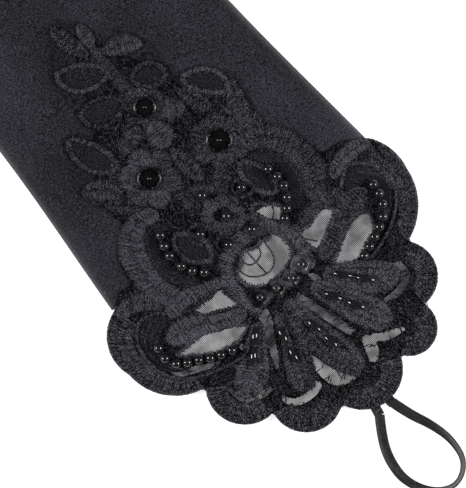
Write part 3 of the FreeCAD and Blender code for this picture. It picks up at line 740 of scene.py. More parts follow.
def add_seam_allowance(side, name):
    """The cut edges turned in beside a seam, overcast with thread."""
    low, high = cad_box(name)
    shape = Shape()
    along = tube_rows(low[1] + 0.5, high[1] - 0.5, 2.0)[:, None]
    t = np.linspace(0, 1, 9)
    x = side * (half_width(along) - ALLOWANCE_GAP - ALLOWANCE_WIDE * t)
    wave = 0.18 * np.sin(along / 2.3) * t
    top = np.stack([x, skewed(x, along), low[2] + ALLOWANCE_RISE + wave], -1)
    shape.slab(top, top - np.array([0, 0, ALLOWANCE_THICK]))
    shape.threads(overcast_runs(side, low, high), half=0.13, height=0.14, slot=1)
    shape.piece(name + "_overcast", [SATIN, THREAD], "sleeve", "satin", [name], lace=False)


def overcast_runs(side, low, high, spacing=0.9):
    """Slanting stitches over the allowance's cut edge."""
    count = int((high[1] - low[1]) / spacing)
    along = np.linspace(low[1] + 1.5, high[1] - 1.5, count)[:, None]
    edge = half_width(along) - ALLOWANCE_GAP - ALLOWANCE_WIDE - OVERCAST_PAST
    t = np.linspace(0, 1, 5)
    x = side * (edge + OVERCAST_REACH - (OVERCAST_REACH + OVERCAST_PAST) * t)
    y = skewed(x, along) + 0.5 * t
    return np.stack([x, y, np.full(x.shape, low[2] + ALLOWANCE_RISE + 0.07)], -1)


def tube_ring(along, inset):
    """A loop of points inside the tube, over the top and back along the palm."""
    share = tube_columns(160)
    top = tube_top(share, np.full(len(share), along), inset)
    bottom = top[::-1][1:-1].copy()
    bottom[:, 2] = PALM_TOP + inset
    return np.vstack([top, bottom])


def add_arm_ring(name, material, slot, inset, thick, flute):
    """A band inside the arm opening, closed between an outer and an inner loop."""
    low, high = cad_box(name)
    shape = Shape()
    rows = np.linspace(low[1] + 0.3, high[1] - 0.3, 24)
    outer = np.array([tube_ring(along, inset) for along in rows])
    inner = np.array([tube_ring(along, inset + thick) for along in rows])
    inner[:, :, 2] += flute * np.sin(np.arange(outer.shape[1]) * 1.3)
    shape.grid(np.concatenate([outer, inner[::-1]]), wrap=True, loop=True)
    shape.piece(name + "_cloth", [material], "sleeve", slot, [name], lace=False)


def add_tube():
    add_back_panel()
    add_palm_panel()
    add_tube_seams()
    for side, name in ((-1, "left"), (1, "right")):
        add_seam_allowance(side, name + "_seam_allowance")
    add_arm_ring("arm_hem_band", SATIN, "satin", inset=0.5, thick=SATIN_THICK, flute=0.0)
    add_arm_ring("arm_elastic", ELASTIC, "elastic", inset=1.0, thick=0.5, flute=0.08)


# ---------------- lace outline and windows
FAN_LOBES = [
    [(-42, 37), (-49.6, 31), (-50.6, 20)], [(-50.6, 20), (-47.2, 9.8), (-36, 3)],
    [(-36, 3), (-37.3, -8.7), (-25.7, -15.2)], [(-25.7, -15.2), (-22.4, -25.6), (-9, -26.3)],
    [(-9, -26.3), (3, -34), (13.2, -26.2)], [(13.2, -26.2), (23.8, -29.2), (28, -19.4)],
    [(28, -19.4), (37, -14.6), (36, -2.4)], [(36, -2.4), (45.2, 3.8), (49.4, 14)],
    [(49.4, 14), (49.6, 21), (46.5, 28)],
]
HAND_EDGE = [
    (46.5, 28), (40, 32), (33.5, 33.5), (31.5, 40), (25, 48.5), (27.5, 58), (28, 68), (17, 76.5), (15.5, 91),
    (8, 99), (3.5, 108), (-3, 112), (-12.5, 100.5), (-14, 84.5), (-21.5, 83.5), (-28, 70), (-24, 53),
    (-32, 46), (-33, 40), (-37.5, 40), (-42, 37),
]
# Rings round the open windows of the fan and the hand.
WINDOWS = [
    [(-3.4, 25.9), (-5.3, 23.6), (-8.3, 21.6), (-7.2, 17), (-2.6, 14), (4.8, 14.6), (8.4, 17), (9.2, 21.3),
     (8, 25.3), (6.3, 24.3), (3.4, 24.9), (1.2, 24.7), (-1.8, 26.1)],
    [(-23.6, 22.3), (-18.3, 22.2), (-14.4, 22.2), (-13.7, 18.2), (-12.4, 14.2), (-18.2, 17.2), (-23.2, 19.2)],
    [(14, 19.8), (17.7, 19.7), (22.9, 21.2), (25.6, 18), (20.6, 15.2), (14.8, 12.6), (13.1, 16.5)],
    [(-36.6, 15.5), (-31.4, 15.4), (-25.5, 15.5), (-21.7, 13.5), (-15.4, 9.3), (-18.7, 7.2), (-22.7, 7.3),
     (-28.2, 9.1), (-32.6, 12.2)],
    [(15.5, 6.7), (20, 9.1), (23.5, 11.6), (26.8, 12.8), (29, 13.6), (32.6, 11.2), (31, 6.7), (26.3, 4.5),
     (22.3, 2.9), (18.7, 3.3)],
    [(7, 33.2), (9.2, 34.4), (12, 31.6), (14.6, 28.8), (11.3, 25.6), (9.3, 27.8)],
]
# Rows of x, y and width down the gaps between the petals; the veiled ones have the net doubled.
CLEAR_GAPS = [
    [(-20.9, -12.5, 1.0), (-20.2, -15.6, 1.8), (-18.1, -17.5, 2.2), (-13.4, -18.2, 2.4), (-9.8, -17, 2.4)],
    [(-7.2, -9.2, 1.2), (-6.9, -13, 3.0), (-6.2, -17.6, 4.2), (-4.2, -20.6, 3.6), (-0.8, -22.7, 0.8)],
    [(8.6, -14.8, 1.6), (8.4, -17.6, 3.4), (7.6, -20.4, 3.6), (5.8, -22.8, 2.0)],
    [(10, -16.6, 2.2), (12.2, -18.6, 2.2), (15, -19.9, 2.4), (19.3, -21, 1.2)],
]
VEILED_GAPS = [
    [(-31, -1, 1.0), (-30.6, -4.5, 1.5), (-29.2, -7.2, 2.0), (-25.5, -9, 2.2), (-21.5, -9.5, 1.2)],
    [(28, -4.2, 1.6), (29.7, -7.2, 2.4), (28.4, -10.4, 2.4), (24, -11.8, 2.2), (19.8, -11.1, 1.2)],
    [(-8.9, 9.8, 2.4), (-9.9, 6.9, 3.4), (-12.6, 1.8, 2.6), (-15.2, -3.9, 1.7), (-16.6, -6.5, 0.9)],
    [(1.4, 6.5, 2.0), (2.4, 2, 2.6), (3.9, -2.9, 2.6), (5.4, -7.8, 2.6), (6.9, -12.5, 2.0)],
    [(8, 8.8, 1.2), (8.6, 7, 2.0), (9.5, 4.6, 1.4)],
    [(-40.6, 13.5, 1.0), (-39, 10.9, 1.9), (-35, 8.9, 1.9), (-30.8, 6.9, 1.3), (-27, 5.6, 0.7)],
    [(-21.2, 5.9, 1.2), (-20.3, 5.2, 1.6), (-19.4, 4.4, 1.0)],
]


def gap_ring(rows):
    left, right = sides(smooth_line(rows, 0.4))
    return np.vstack([left, right[::-1]])


FAN_EDGE = [arc_line(*lobe)[0][:-1] for lobe in FAN_LOBES]
OUTLINE = np.vstack([*FAN_EDGE, smooth_line(HAND_EDGE)[:-1]])
VEILED_RINGS = [gap_ring(rows) for rows in VEILED_GAPS]
GAP_RINGS = [gap_ring(rows) for rows in CLEAR_GAPS] + VEILED_RINGS
WINDOW_RINGS = [smooth_line(ring, 0.4, closed=True) for ring in WINDOWS] + GAP_RINGS
LACE_SPAN_X, LACE_SPAN_Y = (-54, 54), (-38, 116)


def in_any(points, rings):
    return np.any([inside(points, ring) for ring in rings], axis=0)


def nearest_on(points, ring):
    """The ring's closest corner to each point, and how far off it is."""
    gaps = np.linalg.norm(points[:, None] - ring[None], axis=2)
    return ring[gaps.argmin(axis=1)], gaps.min(axis=1)


def clipped_cells(step, keep):
    """Square cells with at least two corners to keep: the corners, the cells and which corners are kept."""
    xs = np.arange(*LACE_SPAN_X, step)
    ys = np.arange(*LACE_SPAN_Y, step)
    grid = np.stack(np.meshgrid(xs, ys), -1).reshape(-1, 2)
    at = np.arange(len(grid)).reshape(len(ys), len(xs))
    cells = np.stack([at[:-1, :-1], at[:-1, 1:], at[1:, 1:], at[1:, :-1]], -1).reshape(-1, 4)
    good = keep(grid)
    cells = cells[good[cells].sum(axis=1) >= 2]
    used, flat = np.unique(cells, return_inverse=True)
    return grid[used], flat.reshape(-1, 4), good[used]


def lay_flat_map(mesh):
    """A UV map in metres of the net laid flat, which the net's cells follow."""
    corners = np.empty(len(mesh.loops), np.int32)
    mesh.loops.foreach_get("vertex_index", corners)
    places = np.array([vertex.co[:2] for vertex in mesh.vertices])
    layer = mesh.uv_layers.new(name="flat")
    layer.data.foreach_set("uv", places[corners].ravel().astype(np.float32))


def add_net():
    points, cells, good = clipped_cells(0.9, lambda p: inside(p, OUTLINE))
    points[~good], _ = nearest_on(points[~good], OUTLINE)
    shape = Shape()
    shape.add(laid(points, NET_THICK / 2), cells)
    net = shape.piece("lace_net", [NET], "both", "tulle", ["hand_lace_ground", "fan_tulle"])
    lay_flat_map(net.data)


def add_second_net():
    """A second layer of net over the veiled gaps."""
    points, cells, _ = clipped_cells(0.5, lambda p: in_any(p, VEILED_RINGS))
    shape = Shape()
    shape.add(laid(points, NET_THICK / 2 + 0.1), cells)
    lay_flat_map(shape.piece("second_net", [NET], "both", "tulle").data)


EDGE_REACH = 0.7                       # corners this close to an edge are moved on to it
HUB_RING_Y = 12                        # the ground's threads fan out from here
GROUND_LENGTHS, GROUND_HALVES, GROUND_TONES = (1.6, 3.2), (0.14, 0.22), (0.0, 0.1)
BOBBIN_LENGTHS, BOBBIN_TONES = (1.6, 3.6), (0.0, 0.7)
# Lowest and highest y of each part of the ground, and how many threads are tried on it.
GROUND_PARTS = {"fan": (-34, 24, 13500), "hand": (24, 100, 12500)}
GROUND_TOP = 46.0
# Above GROUND_TOP the worked ground is only between the motifs.
HAND_GROUND = np.array([
    (-30, 45), (-23, 53), (-24, 62), (-19, 76), (-9, 82), (-8, 91), (-3, 100), (4, 99), (7, 91),
    (13, 84), (14, 75), (23, 65), (23, 52), (29, 45),
])


def on_ground(points):
    """Where the lace is worked solid."""
    worked = (points[:, 1] < GROUND_TOP) | inside(points, HAND_GROUND)
    return inside(points, OUTLINE) & worked & ~in_any(points, WINDOW_RINGS)


def add_ground():
    """Filled ground between the windows: a dark underlay with short threads over it."""
    points, cells, good = clipped_cells(0.6, on_ground)
    found, gap = nearest_on(points[~good], np.vstack([OUTLINE, *WINDOW_RINGS]))
    points[~good] = np.where(gap[:, None] < EDGE_REACH, found, points[~good])
    shape = Shape()
    shape.add(laid(points, STITCH_FLOOR), cells)
    shape.piece("lace_underlay", [PADDING], "both", "embroidery")
    add_ground_threads()


def add_ground_threads():
    for name, (low, high, count) in GROUND_PARTS.items():
        centres = RNG.uniform((-51, low), (50, high), (count, 2))
        ground_threads(name + "_ground_stitches", centres[on_ground(centres)], on_ground)
    centres = RNG.uniform((-42, -24), (36, 14), (620, 2))
    in_gaps = centres[in_any(centres, GAP_RINGS)]
    ground_threads("gap_stitches", in_gaps, lambda points: np.ones(len(points), bool))


def from_hub(centres):
    """The angle of the way out from the hub ring at each centre."""
    return np.arctan2(centres[:, 1] - HUB_RING_Y, centres[:, 0])


def headings(angles, lengths):
    """Half a thread's run along each heading."""
    return np.column_stack([np.cos(angles), np.sin(angles)]) * lengths / 2


def ground_threads(name, centres, allowed):
    """Short threads fanning out from the hub, with their ends where they are allowed."""
    angle = from_hub(centres) + 0.7 * np.sin(centres[:, 0] / 4.0) + RNG.normal(0, 0.45, len(centres))
    step = headings(angle, RNG.uniform(*GROUND_LENGTHS, (len(centres), 1)))
    solid = allowed(centres + step / 2) & allowed(centres - step / 2)
    solid &= inside(centres + step, OUTLINE) & inside(centres - step, OUTLINE)
    centres, step = centres[solid], step[solid]
    t = np.linspace(-1, 1, 4)
    lift = 0.16 * (1 - t**2) + RNG.uniform(0, 0.12, (len(centres), 1))
    runs = laid(between(centres, centres + step, t), STITCH_FLOOR + lift)
    shape = Shape()
    shape.threads(runs, half=RNG.uniform(*GROUND_HALVES, len(runs)), tones=GROUND_TONES)
    shape.piece(name, [THREAD], "both", "embroidery")


def add_bobbin_threads():
    """The stitches' other side, seen under the fan when it is folded back."""
    centres = RNG.uniform((-50, -33), (50, 18), (9000, 2))
    centres = centres[on_ground(centres)]
    angle = from_hub(centres) + RNG.normal(0, 0.3, len(centres))
    step = headings(angle, RNG.uniform(*BOBBIN_LENGTHS, (len(centres), 1)))
    solid = on_ground(centres + step) & on_ground(centres - step)
    centres, step = centres[solid], step[solid]
    flat = between(centres, centres + step, np.linspace(-1, 1, 4))
    shape = Shape()
    runs = laid(flat, -0.02 - RNG.uniform(0, 0.12, (len(centres), 1)))
    shape.threads(runs, half=0.2, height=-0.12, tones=BOBBIN_TONES)
    shape.piece("bobbin_threads", [THREAD], "both", "embroidery")


# ---------------- embroidery
SPACING = 0.36                         # from one thread to the next
THREAD_HALVES = (0.15, 0.22)           # half a thread's width
THREAD_STEPS = np.linspace(0, 1, 5)
PLAN_STEP = 0.6                        # between points along a band
MOTIF_LEVELS = (0.02, 0.40)            # each leaf or petal has its own tone between these
MOTIF_SPREAD = 0.5                     # and its threads vary by this much
BORDER_TONES = (0.0, 0.7)


def along_line(line, share):
    """Points in the plan at shares of a line's length."""
    run = run_length(line)
    at = np.clip(share, 0, 1) * run[-1]
    return np.stack([np.interp(at, run, line[:, k]) for k in range(2)], -1)


def swell(t, power):
    """0 at both ends of a thread and 1 at its middle, fuller as the power falls."""
    return np.sin(math.pi * t.clip(0, 1)) ** power


def padding(shape, first, second, lift, crown):
    """A raised underlay between two edges, closed below."""
    share = np.linspace(0, 1, max(6, int(run_length(second)[-1] / 0.9)))
    t = np.linspace(0.03, 0.97, 7)
    flat = between(along_line(first, share), along_line(second, share), t)
    foot = STITCH_FLOOR - 0.04
    top = laid(flat, foot + lift + crown * swell(t, 0.7))
    shape.slab(top, laid(flat, foot - 0.02), slot=1)


def satin_stitch(shape, first, second, lift=0.15, crown=0.35, rows=1, lean=0.0, ragged=0.35, tones=None):
    """Threads side by side from the first edge to the second, split into staggered rows."""
    padding(shape, first, second, lift, crown)
    if tones is None:
        level = RNG.uniform(*MOTIF_LEVELS)
        tones = (level, level + MOTIF_SPREAD)
    count = max(4, int(max(run_length(first)[-1], run_length(second)[-1]) / SPACING))
    share = (np.arange(count) + 0.5) / count
    a, b = along_line(first, share - lean), along_line(second, share)
    reach = np.linalg.norm(b - a, axis=1).clip(0.4)
    breaks = np.linspace(0, 1, rows + 1)[None] + RNG.normal(0, 0.16 / rows, (count, rows + 1))
    breaks[:, 0] = -RNG.uniform(0, ragged, count) / reach
    breaks[:, -1] = 1 + RNG.uniform(0, ragged, count) / reach
    for start, stop in zip(breaks.T, breaks.T[1:]):
        t = start[:, None] + (stop - start)[:, None] * THREAD_STEPS
        flat = between(a, b, t) + RNG.normal(0, 0.05, (count, 1, 2))
        rise = lift * (0.3 + 0.7 * swell(t, 0.4)) + crown * swell(t, 0.7) + 0.10 * swell(THREAD_STEPS, 1)
        runs = laid(flat, STITCH_FLOOR + rise + RNG.uniform(-0.05, 0.09, (count, 1)))
        shape.threads(runs, half=RNG.uniform(*THREAD_HALVES, count), height=0.16, tones=tones)


def rounded_ends(line):
    """The same band, narrowed to a round at both ends."""
    run = run_length(line)
    out = line.copy()
    for width, gap in ((line[0, 2], run), (line[-1, 2], run[-1] - run)):
        t = np.clip(gap / (width / 2), 0.02, 1)
        out[:, 2] *= np.sqrt(1 - (1 - t) ** 2)
    return out


def band(shape, points, **style):
    """A stitched band from rows of x, y and width."""
    satin_stitch(shape, *sides(rounded_ends(smooth_line(points, PLAN_STEP))), **style)


def petal(shape, points, **style):
    """A leaf-like band worked in two halves from a sunken spine."""
    line = rounded_ends(smooth_line(points, PLAN_STEP))
    for side in sides(line):
        satin_stitch(shape, line[:, :2], side, **style)


def cord_line(shape, points, width=1.1, closed=False, lift=0.45, ragged=0.15):
    """A narrow raised cord wrapped with short threads."""
    line = smooth_line([point[:2] for point in points], 0.5, closed)
    if closed:
        line = np.vstack([line, line[:1]])
    line = np.column_stack([line, np.full(len(line), width)])
    satin_stitch(shape, *sides(line), lift=lift, crown=0.3, ragged=ragged)


def inlay(shape, line):
    """A smooth laid strip without stitches, inside a leaf or where pearls sit."""
    t = np.linspace(0, 1, 7)
    flat = between(*sides(rounded_ends(line)), t)
    top = laid(flat, STITCH_FLOOR + 0.30 + 0.10 * swell(t, 1))
    shape.slab(top, laid(flat, STITCH_FLOOR - 0.05), slot=2)


def vein(shape, rows):
    """One bright thread along the outer side of a smooth channel."""
    spine = smooth_line(rows)
    outer = max(sides(spine), key=lambda edge: np.linalg.norm(edge[len(edge) // 2]))
    line = spine[:, :2] + (outer - spine[:, :2]) * 0.45
    shape.tube(laid(line, STITCH_FLOOR + 0.45), 0.13, 6)


LEAF_SHAPE = [(0, 0.25), (0.25, 0.8), (0.55, 1.0), (0.8, 0.75), (1, 0.15)]    # shares of length and width


def leaf_points(foot, tip, width, bend=0.0):
    """Rows of x, y and width from a leaf's foot to its tip, bowed to one side."""
    foot, tip = np.array(foot, float), np.array(tip, float)
    ahead = tip - foot
    side = np.array([-ahead[1], ahead[0]])
    rows = []
    for t, share in LEAF_SHAPE:
        x, y = foot + ahead * t + side * bend * math.sin(math.pi * t)
        rows.append((x, y, width * share))
    return rows


def leaf(shape, foot, tip, width, bend=0.0):
    band(shape, leaf_points(foot, tip, width, bend), lift=0.25, crown=0.4, rows=2, lean=0.08)


def outlined_leaf(shape, foot, tip, width, bend=0.0):
    """A leaf with a smooth middle and a raised cord round it."""
    line = smooth_line(leaf_points(foot, tip, width, bend), PLAN_STEP)
    inlay(shape, line)
    left, right = sides(line)
    cord_line(shape, np.vstack([left, right[::-1]])[::3], 1.9, closed=True, lift=0.5)


def polar(centre, radius, start, stop, step=0.5):
    """Points round a centre; radius is a number, or a list spread over the turn."""
    count = max(8, int(abs(stop - start) * float(np.max(radius)) / step))
    a = np.linspace(start, stop, count)
    reach = np.interp(a, np.linspace(start, stop, np.size(radius)), np.atleast_1d(radius))
    return np.array(centre) + reach[:, None] * np.column_stack([np.cos(a), np.sin(a)])


PETAL_REACH = np.array([0.55, 0.86, 0.97, 1.0, 0.97, 0.86, 0.55])
PETAL_OVERLAP = 0.62                   # half a petal's width as a share of its turn


def rose(shape, centre, core, radius, count=6, turn=0.0, tall=0.3):
    """Round overlapping petals, each stitched outwards from the middle."""
    spread = 2 * math.pi / count * PETAL_OVERLAP
    for k in range(count):
        middle = turn + 2 * math.pi * k / count
        inner = polar(centre, core, middle - spread * 0.8, middle + spread * 0.8, 0.3)
        edge = polar(centre, radius * PETAL_REACH, middle - spread, middle + spread)
        satin_stitch(shape, inner, edge, lift=tall + 0.14 * (k % 2), crown=0.35, rows=2 if radius > 6 else 1)


def ring(shape, centre, radius, width):
    cord_line(shape, polar(centre, radius, 0, 2 * math.pi * 0.96, 1.0), width, closed=True, lift=0.35)


# Rows of x and y for a cord, and of x, y and width for a band. An inner tongue is a leaf's foot, tip, width.
BIG_SCROLLS = {
    "left": [(-31, 26.5), (-34, 29), (-38.5, 29.5), (-42.5, 26), (-43.8, 20), (-42.4, 13), (-37.4, 7.6),
             (-30, 4.6), (-22, 2.8), (-18, 3.8)],
    "right": [(31, 22), (37, 25.5), (43, 20), (44, 14), (41, 9), (36, 5), (30, 2.4), (24, 1)],
}
BIG_CHANNELS = {
    "left": [(-32, 25.5, 3), (-36, 26.3, 5.5), (-40, 23.5, 5.5), (-40.8, 18, 4.5), (-38, 13, 4),
             (-34, 11.2, 3)],
    "right": [(32, 21, 3), (37, 21.5, 5.5), (40.6, 17.5, 5), (40.6, 13, 4.5), (37, 9.2, 4), (33.5, 7.4, 3)],
}
SMALL_SCROLLS = {
    "left": [(-14, 50, 4), (-20, 52, 6), (-26, 48, 7.5), (-28.5, 40, 7.5), (-28, 32, 7), (-24.5, 26.5, 5)],
    "right": [(14, 48, 4), (20, 49.5, 6), (26, 45, 7.5), (28.5, 37, 7.5), (27.5, 29.5, 7), (22.5, 24.5, 5)],
}
SMALL_CHANNELS = {
    "left": [(-15, 47, 3), (-20.5, 46, 4.5), (-23, 40, 5), (-22, 33, 5), (-18, 28.5, 4)],
    "right": [(16, 44.5, 3), (21, 43, 4.5), (23, 37, 5), (21.5, 30.5, 5), (16.5, 26, 4)],
}
INNER_TONGUES = {"left": [(-15.5, 42), (-10.5, 30.5), 7.5], "right": [(13, 46), (16.5, 33), 6.5]}
TONGUES = {
    "left": [(-36, 20, 3), (-31, 19.5, 8), (-26, 18, 6.5), (-20, 14.5, 5), (-13, 12, 4)],
    "right": [(36.5, 17, 3), (31.5, 16.5, 8), (26, 15, 6.5), (20, 11.8, 5), (13.5, 10, 4)],
}
UPPER_BORDERS = {
    "left": [(-31, 26, 6), (-24, 26.5, 5), (-17, 24.5, 4), (-12, 23, 3)],
    "right": [(31, 20.5, 5), (24.5, 22.5, 4.5), (17, 22, 4), (12, 20, 3)],
}
PETALS = [
    [(-12.2, 7.6, 3.4), (-17.4, 2.6, 6.2), (-22, -2, 9), (-26.5, -4.5, 8), (-30, -5.5, 3)],
    [(11, 6, 4), (16, 2, 7), (21, -3, 9.5), (25, -6, 8), (28.5, -8, 3)],
    [(-5.8, 6, 3.6), (-7.6, -1, 5.2), (-10.4, -8, 8), (-13.0, -13.6, 7.8), (-15, -16.4, 4)],
    [(6.6, 6, 4.2), (9.6, -1, 7), (12.9, -8, 9), (15.8, -14, 8), (17.8, -17.5, 4)],
    [(-1.8, 7, 6), (-2.2, -2, 7.6), (-1, -10, 9), (0.6, -17, 8.2), (1.6, -23, 4.5)],
]
HALF_RING = [(-9.5, 9.5, 4), (-11.2, 15, 4.2), (-11.3, 21, 4.2), (-9, 26, 4.5), (-4.5, 28.6, 4.6)]
HUB_RING = HALF_RING + [(0, 29, 4.8)] + [(-x, y, width) for x, y, width in reversed(HALF_RING)]
WINGS = [
    [(-42, 34.5, 3), (-37, 35, 5), (-32, 32, 5), (-30.5, 28.5, 3)],
    [(46, 27, 3), (40.5, 28.3, 4.5), (35, 27.5, 4.5), (31, 25.5, 3)],
]
# Threads across the open windows.
CROSS_THREADS = [
    [(-1.5, 27), (-1.5, 21.5), (-1.3, 16.5)], [(-4.5, 24.5), (-3.6, 22), (-1.5, 21.4), (1, 22.2), (2, 24.4)],
    [(-7, 24), (-6, 20), (-3.4, 17.6), (0, 16.7), (2.6, 18), (3.8, 20.5), (4.2, 24.5)],
    [(13.5, 17.5), (16, 14.5)], [(13, 31.4), (11.6, 29), (9.2, 27.2)],
]
BORDER_DEPTH = 6.2
BORDER_SHARE = 0.72                    # of the way to the focus, at the most


def border_lobe(shape, arcs, focus, depth, lift):
    """One scallop, stitched from its edge towards its middle, with a cord round the edge."""
    outer = np.vstack([arc_line(*arc)[0] for arc in arcs])
    inwards = np.array(focus) - outer
    far = np.linalg.norm(inwards, axis=1)[:, None]
    inwards /= far
    depth = np.linspace(*depth, len(outer))[:, None]
    inner = outer + inwards * np.minimum(depth, far * BORDER_SHARE)
    satin_stitch(shape, outer + inwards * 0.4, inner, lift=lift, crown=0.25, rows=3, tones=BORDER_TONES)
    cord_line(shape, (outer + inwards * 0.5)[::3], 0.9, lift=lift + 0.12)


def embroider(shape, name, body, nodes=(), thread=THREAD):
    """One piece of embroidery: its thread, its padding and, where it has any, its smooth inlays."""
    highest = max(slots.max() for slots in shape.slots)
    shape.piece(name, [thread, PADDING, SMOOTH_INLAY][:highest + 1], body, "embroidery", nodes)


def add_window_edges():
    """Narrow cords round the windows, and the single threads that cross them."""
    shape = Shape()
    for points in WINDOWS:
        cord_line(shape, points, 0.65, closed=True, lift=0.25, ragged=0.8)
    for points in CROSS_THREADS:
        shape.tube(laid(smooth_line(points), STITCH_FLOOR + 0.15), 0.25, 6)
    embroider(shape, "window_edge_threads", "both")


def add_border():
    shape = Shape()
    border_lobe(shape, FAN_LOBES[:2], (-36, 20), (8.6, 4.4), 0.25)
    border_lobe(shape, FAN_LOBES[7:], (36, 15), (5.4, 8.6), 0.25)
    for k, lobe in enumerate(FAN_LOBES[2:7]):
        border_lobe(shape, [lobe], arc_centre(*lobe), (BORDER_DEPTH, BORDER_DEPTH), 0.18 + 0.14 * (k % 2))
    for wing in WINGS:
        band(shape, wing, rows=2, lift=0.2)
    embroider(shape, "fan_border_stitches", "both", ["fan_border", "left_wing_border", "right_wing_border"])


def add_petals():
    shape = Shape()
    for points in PETALS:
        petal(shape, points, rows=2, lean=0.03, lift=0.2, crown=0.4, ragged=0.7)
    embroider(shape, "fan_petal_stitches", "lace_fan", ["fan_petals"])


def add_hub_ring():
    shape = Shape()
    band(shape, HUB_RING, rows=1, lift=0.28, crown=0.4)
    embroider(shape, "hub_ring_stitches", "both", ["fan_hub_ring"])


def add_big_scroll(side):
    shape = Shape()
    inlay(shape, smooth_line(BIG_CHANNELS[side], PLAN_STEP))
    cord_line(shape, BIG_SCROLLS[side], 1.3, lift=0.55)
    vein(shape, BIG_CHANNELS[side][1:])
    band(shape, TONGUES[side], rows=2, lift=0.22)
    band(shape, UPPER_BORDERS[side], rows=1, lift=0.2)
    embroider(shape, side + "_big_scroll_stitches", "both", [side + "_big_scroll"])


def add_small_scroll(side):
    shape = Shape()
    inlay(shape, smooth_line(SMALL_CHANNELS[side], PLAN_STEP))
    band(shape, SMALL_SCROLLS[side], rows=2, lift=0.3)
    outlined_leaf(shape, *INNER_TONGUES[side])
    vein(shape, SMALL_CHANNELS[side][1:])
    embroider(shape, side + "_small_scroll_stitches", "both", [side + "_small_scroll"], HAND_THREAD)


def add_centre_motif():
    shape = Shape()
    leaf(shape, (1, 62), (2, 49), 5.5)
    leaf(shape, (3.2, 42.6), (8, 49.5), 5.5, -0.1)
    rose(shape, (0, 38), 2.4, 6.6, 8, 0.2, 0.25)
    for centre, radius, width in (((-9, 38), 3.0, 1.3), ((9.4, 40.3), 2.8, 1.2), ((-4.3, 31), 2.8, 1.2)):
        ring(shape, centre, radius, width)
    rose(shape, (3.7, 30.6), 1.7, 4.4, 5, 0.5, 0.3)
    band(shape, [(-7, 46, 3), (-3.5, 48, 4.5), (0, 47, 4), (3, 45, 2.5)], lift=0.25)
    band(shape, [(-4, 57, 3), (-5, 53, 4.5), (-6.5, 49, 3)], lift=0.25)
    embroider(shape, "hand_centre_stitches", "both", ["hand_centre_motif"], HAND_THREAD)


def add_roses():
    for side, centre, radius, turn in (("left", (-9.5, 59.5), 9.2, 0.3), ("right", (13, 55), 8.6, 0.0)):
        shape = Shape()
        rose(shape, centre, 3.2, radius, 6, turn, 0.28)
        embroider(shape, side + "_rose_stitches", "sleeve", [side + "_flower"], HAND_THREAD)


def add_bud_spray():
    shape = Shape()
    leaf(shape, (0, 98), (-3, 111), 5.4, 0.06)
    leaf(shape, (1.8, 98.5), (3.2, 107), 4.2, -0.06)
    outlined_leaf(shape, (1, 91), (-11, 99), 7.5, 0.08)
    leaf(shape, (3.5, 95.8), (14, 90.3), 6, 0.1)
    band(shape, [(2, 99, 3), (2, 92.5, 4.4), (2, 86, 3.6), (2, 80.5, 4)], lift=0.35)
    outlined_leaf(shape, (-1, 82), (-13, 86), 8, 0.1)
    outlined_leaf(shape, (5, 84), (13, 79), 7, 0.12)
    rose(shape, (2.7, 76), 2.9, 6.4, 6, 0.1, 0.3)
    band(shape, [(1, 71.5, 4), (1, 67, 8), (1, 63, 5)], lift=0.4, rows=2)
    band(shape, [(4, 74, 3), (8, 71, 7), (11.5, 68.5, 4)], lift=0.25)
    band(shape, [(-2, 73, 3), (-6.5, 71.5, 5.5), (-11, 70.5, 4)], lift=0.25)
    embroider(shape, "bud_spray_stitches", "sleeve", ["bud_spray"], HAND_THREAD)


# Foot, tip, width and bend of each leaf beside the bud; the first of each spray is outlined.
LEAF_SPRAYS = {
    "left": [((-20, 82.5), (-14.2, 68), 7, -0.08), ((-27, 69), (-18.5, 60.5), 6.5, 0.1),
             ((-24, 62), (-17, 54), 5.5, 0.05), ((-14, 70), (-19, 63), 4.5, 0.05)],
    "right": [((16, 75), (24.5, 64.5), 6.5, 0.1), ((27, 66), (22.5, 51), 6, -0.08),
              ((13, 74), (17, 63), 5, 0.05), ((20, 62), (25.5, 50), 5, 0.05)],
}


def add_leaf_sprays():
    for side, (first, *others) in LEAF_SPRAYS.items():
        shape = Shape()
        outlined_leaf(shape, *first)
        for spec in others:
            leaf(shape, *spec)
        embroider(shape, side + "_leaf_stitches", "sleeve", [side + "_leaf_spray"], HAND_THREAD)


def add_lace():
    add_net()
    add_second_net()
    add_ground()
    add_bobbin_threads()
    add_window_edges()
    add_border()
    add_petals()
    add_hub_ring()
    for side in ("left", "right"):
        add_big_scroll(side)
        add_small_scroll(side)
    add_centre_motif()
    add_roses()
    add_bud_spray()
    add_leaf_sprays()


# ---------------- beads, sequins and stones
def solids(name):
    """The points of each separate solid of a CAD node, in row millimetres."""
    mesh = frame["nodes"][name].data
    points = np.array([vertex.co[:] for vertex in mesh.vertices]) / MM
    _, merged = np.unique(points.round(3), axis=0, return_inverse=True)
    merged = merged.ravel()
    group = np.arange(merged.max() + 1)
    edges = merged[np.array([edge.vertices[:] for edge in mesh.edges])]
    while True:
        low = np.minimum(group[edges[:, 0]], group[edges[:, 1]])
        before = group.copy()
        np.minimum.at(group, edges[:, 0], low)
        np.minimum.at(group, edges[:, 1], low)
        group = group[group]
        if (group == before).all():
            break
    owner = group[merged]
    return [points[owner == k] for k in np.unique(owner)]


def body_with(name):
    """The body that a CAD node belongs to."""
    for body, about in frame["record"]["behaviour"]["bodies"].items():
        nodes = about["nodes"] if isinstance(about, dict) else about
        if name in nodes:
            return body
    return "sleeve"


def middle(points):
    return (points.min(axis=0) + points.max(axis=0)) / 2


def long_axis(points):
    return np.linalg.svd(points - points.mean(axis=0), full_matrices=False)[2][0]


NEIGHBOUR_REACH = 4.5                  # pearls this close share a thread
HOLDING_RADIUS = 0.15
RICE_RADIUS = 1.15
BEAD_ROWS, BEAD_COLUMNS = 19, 24


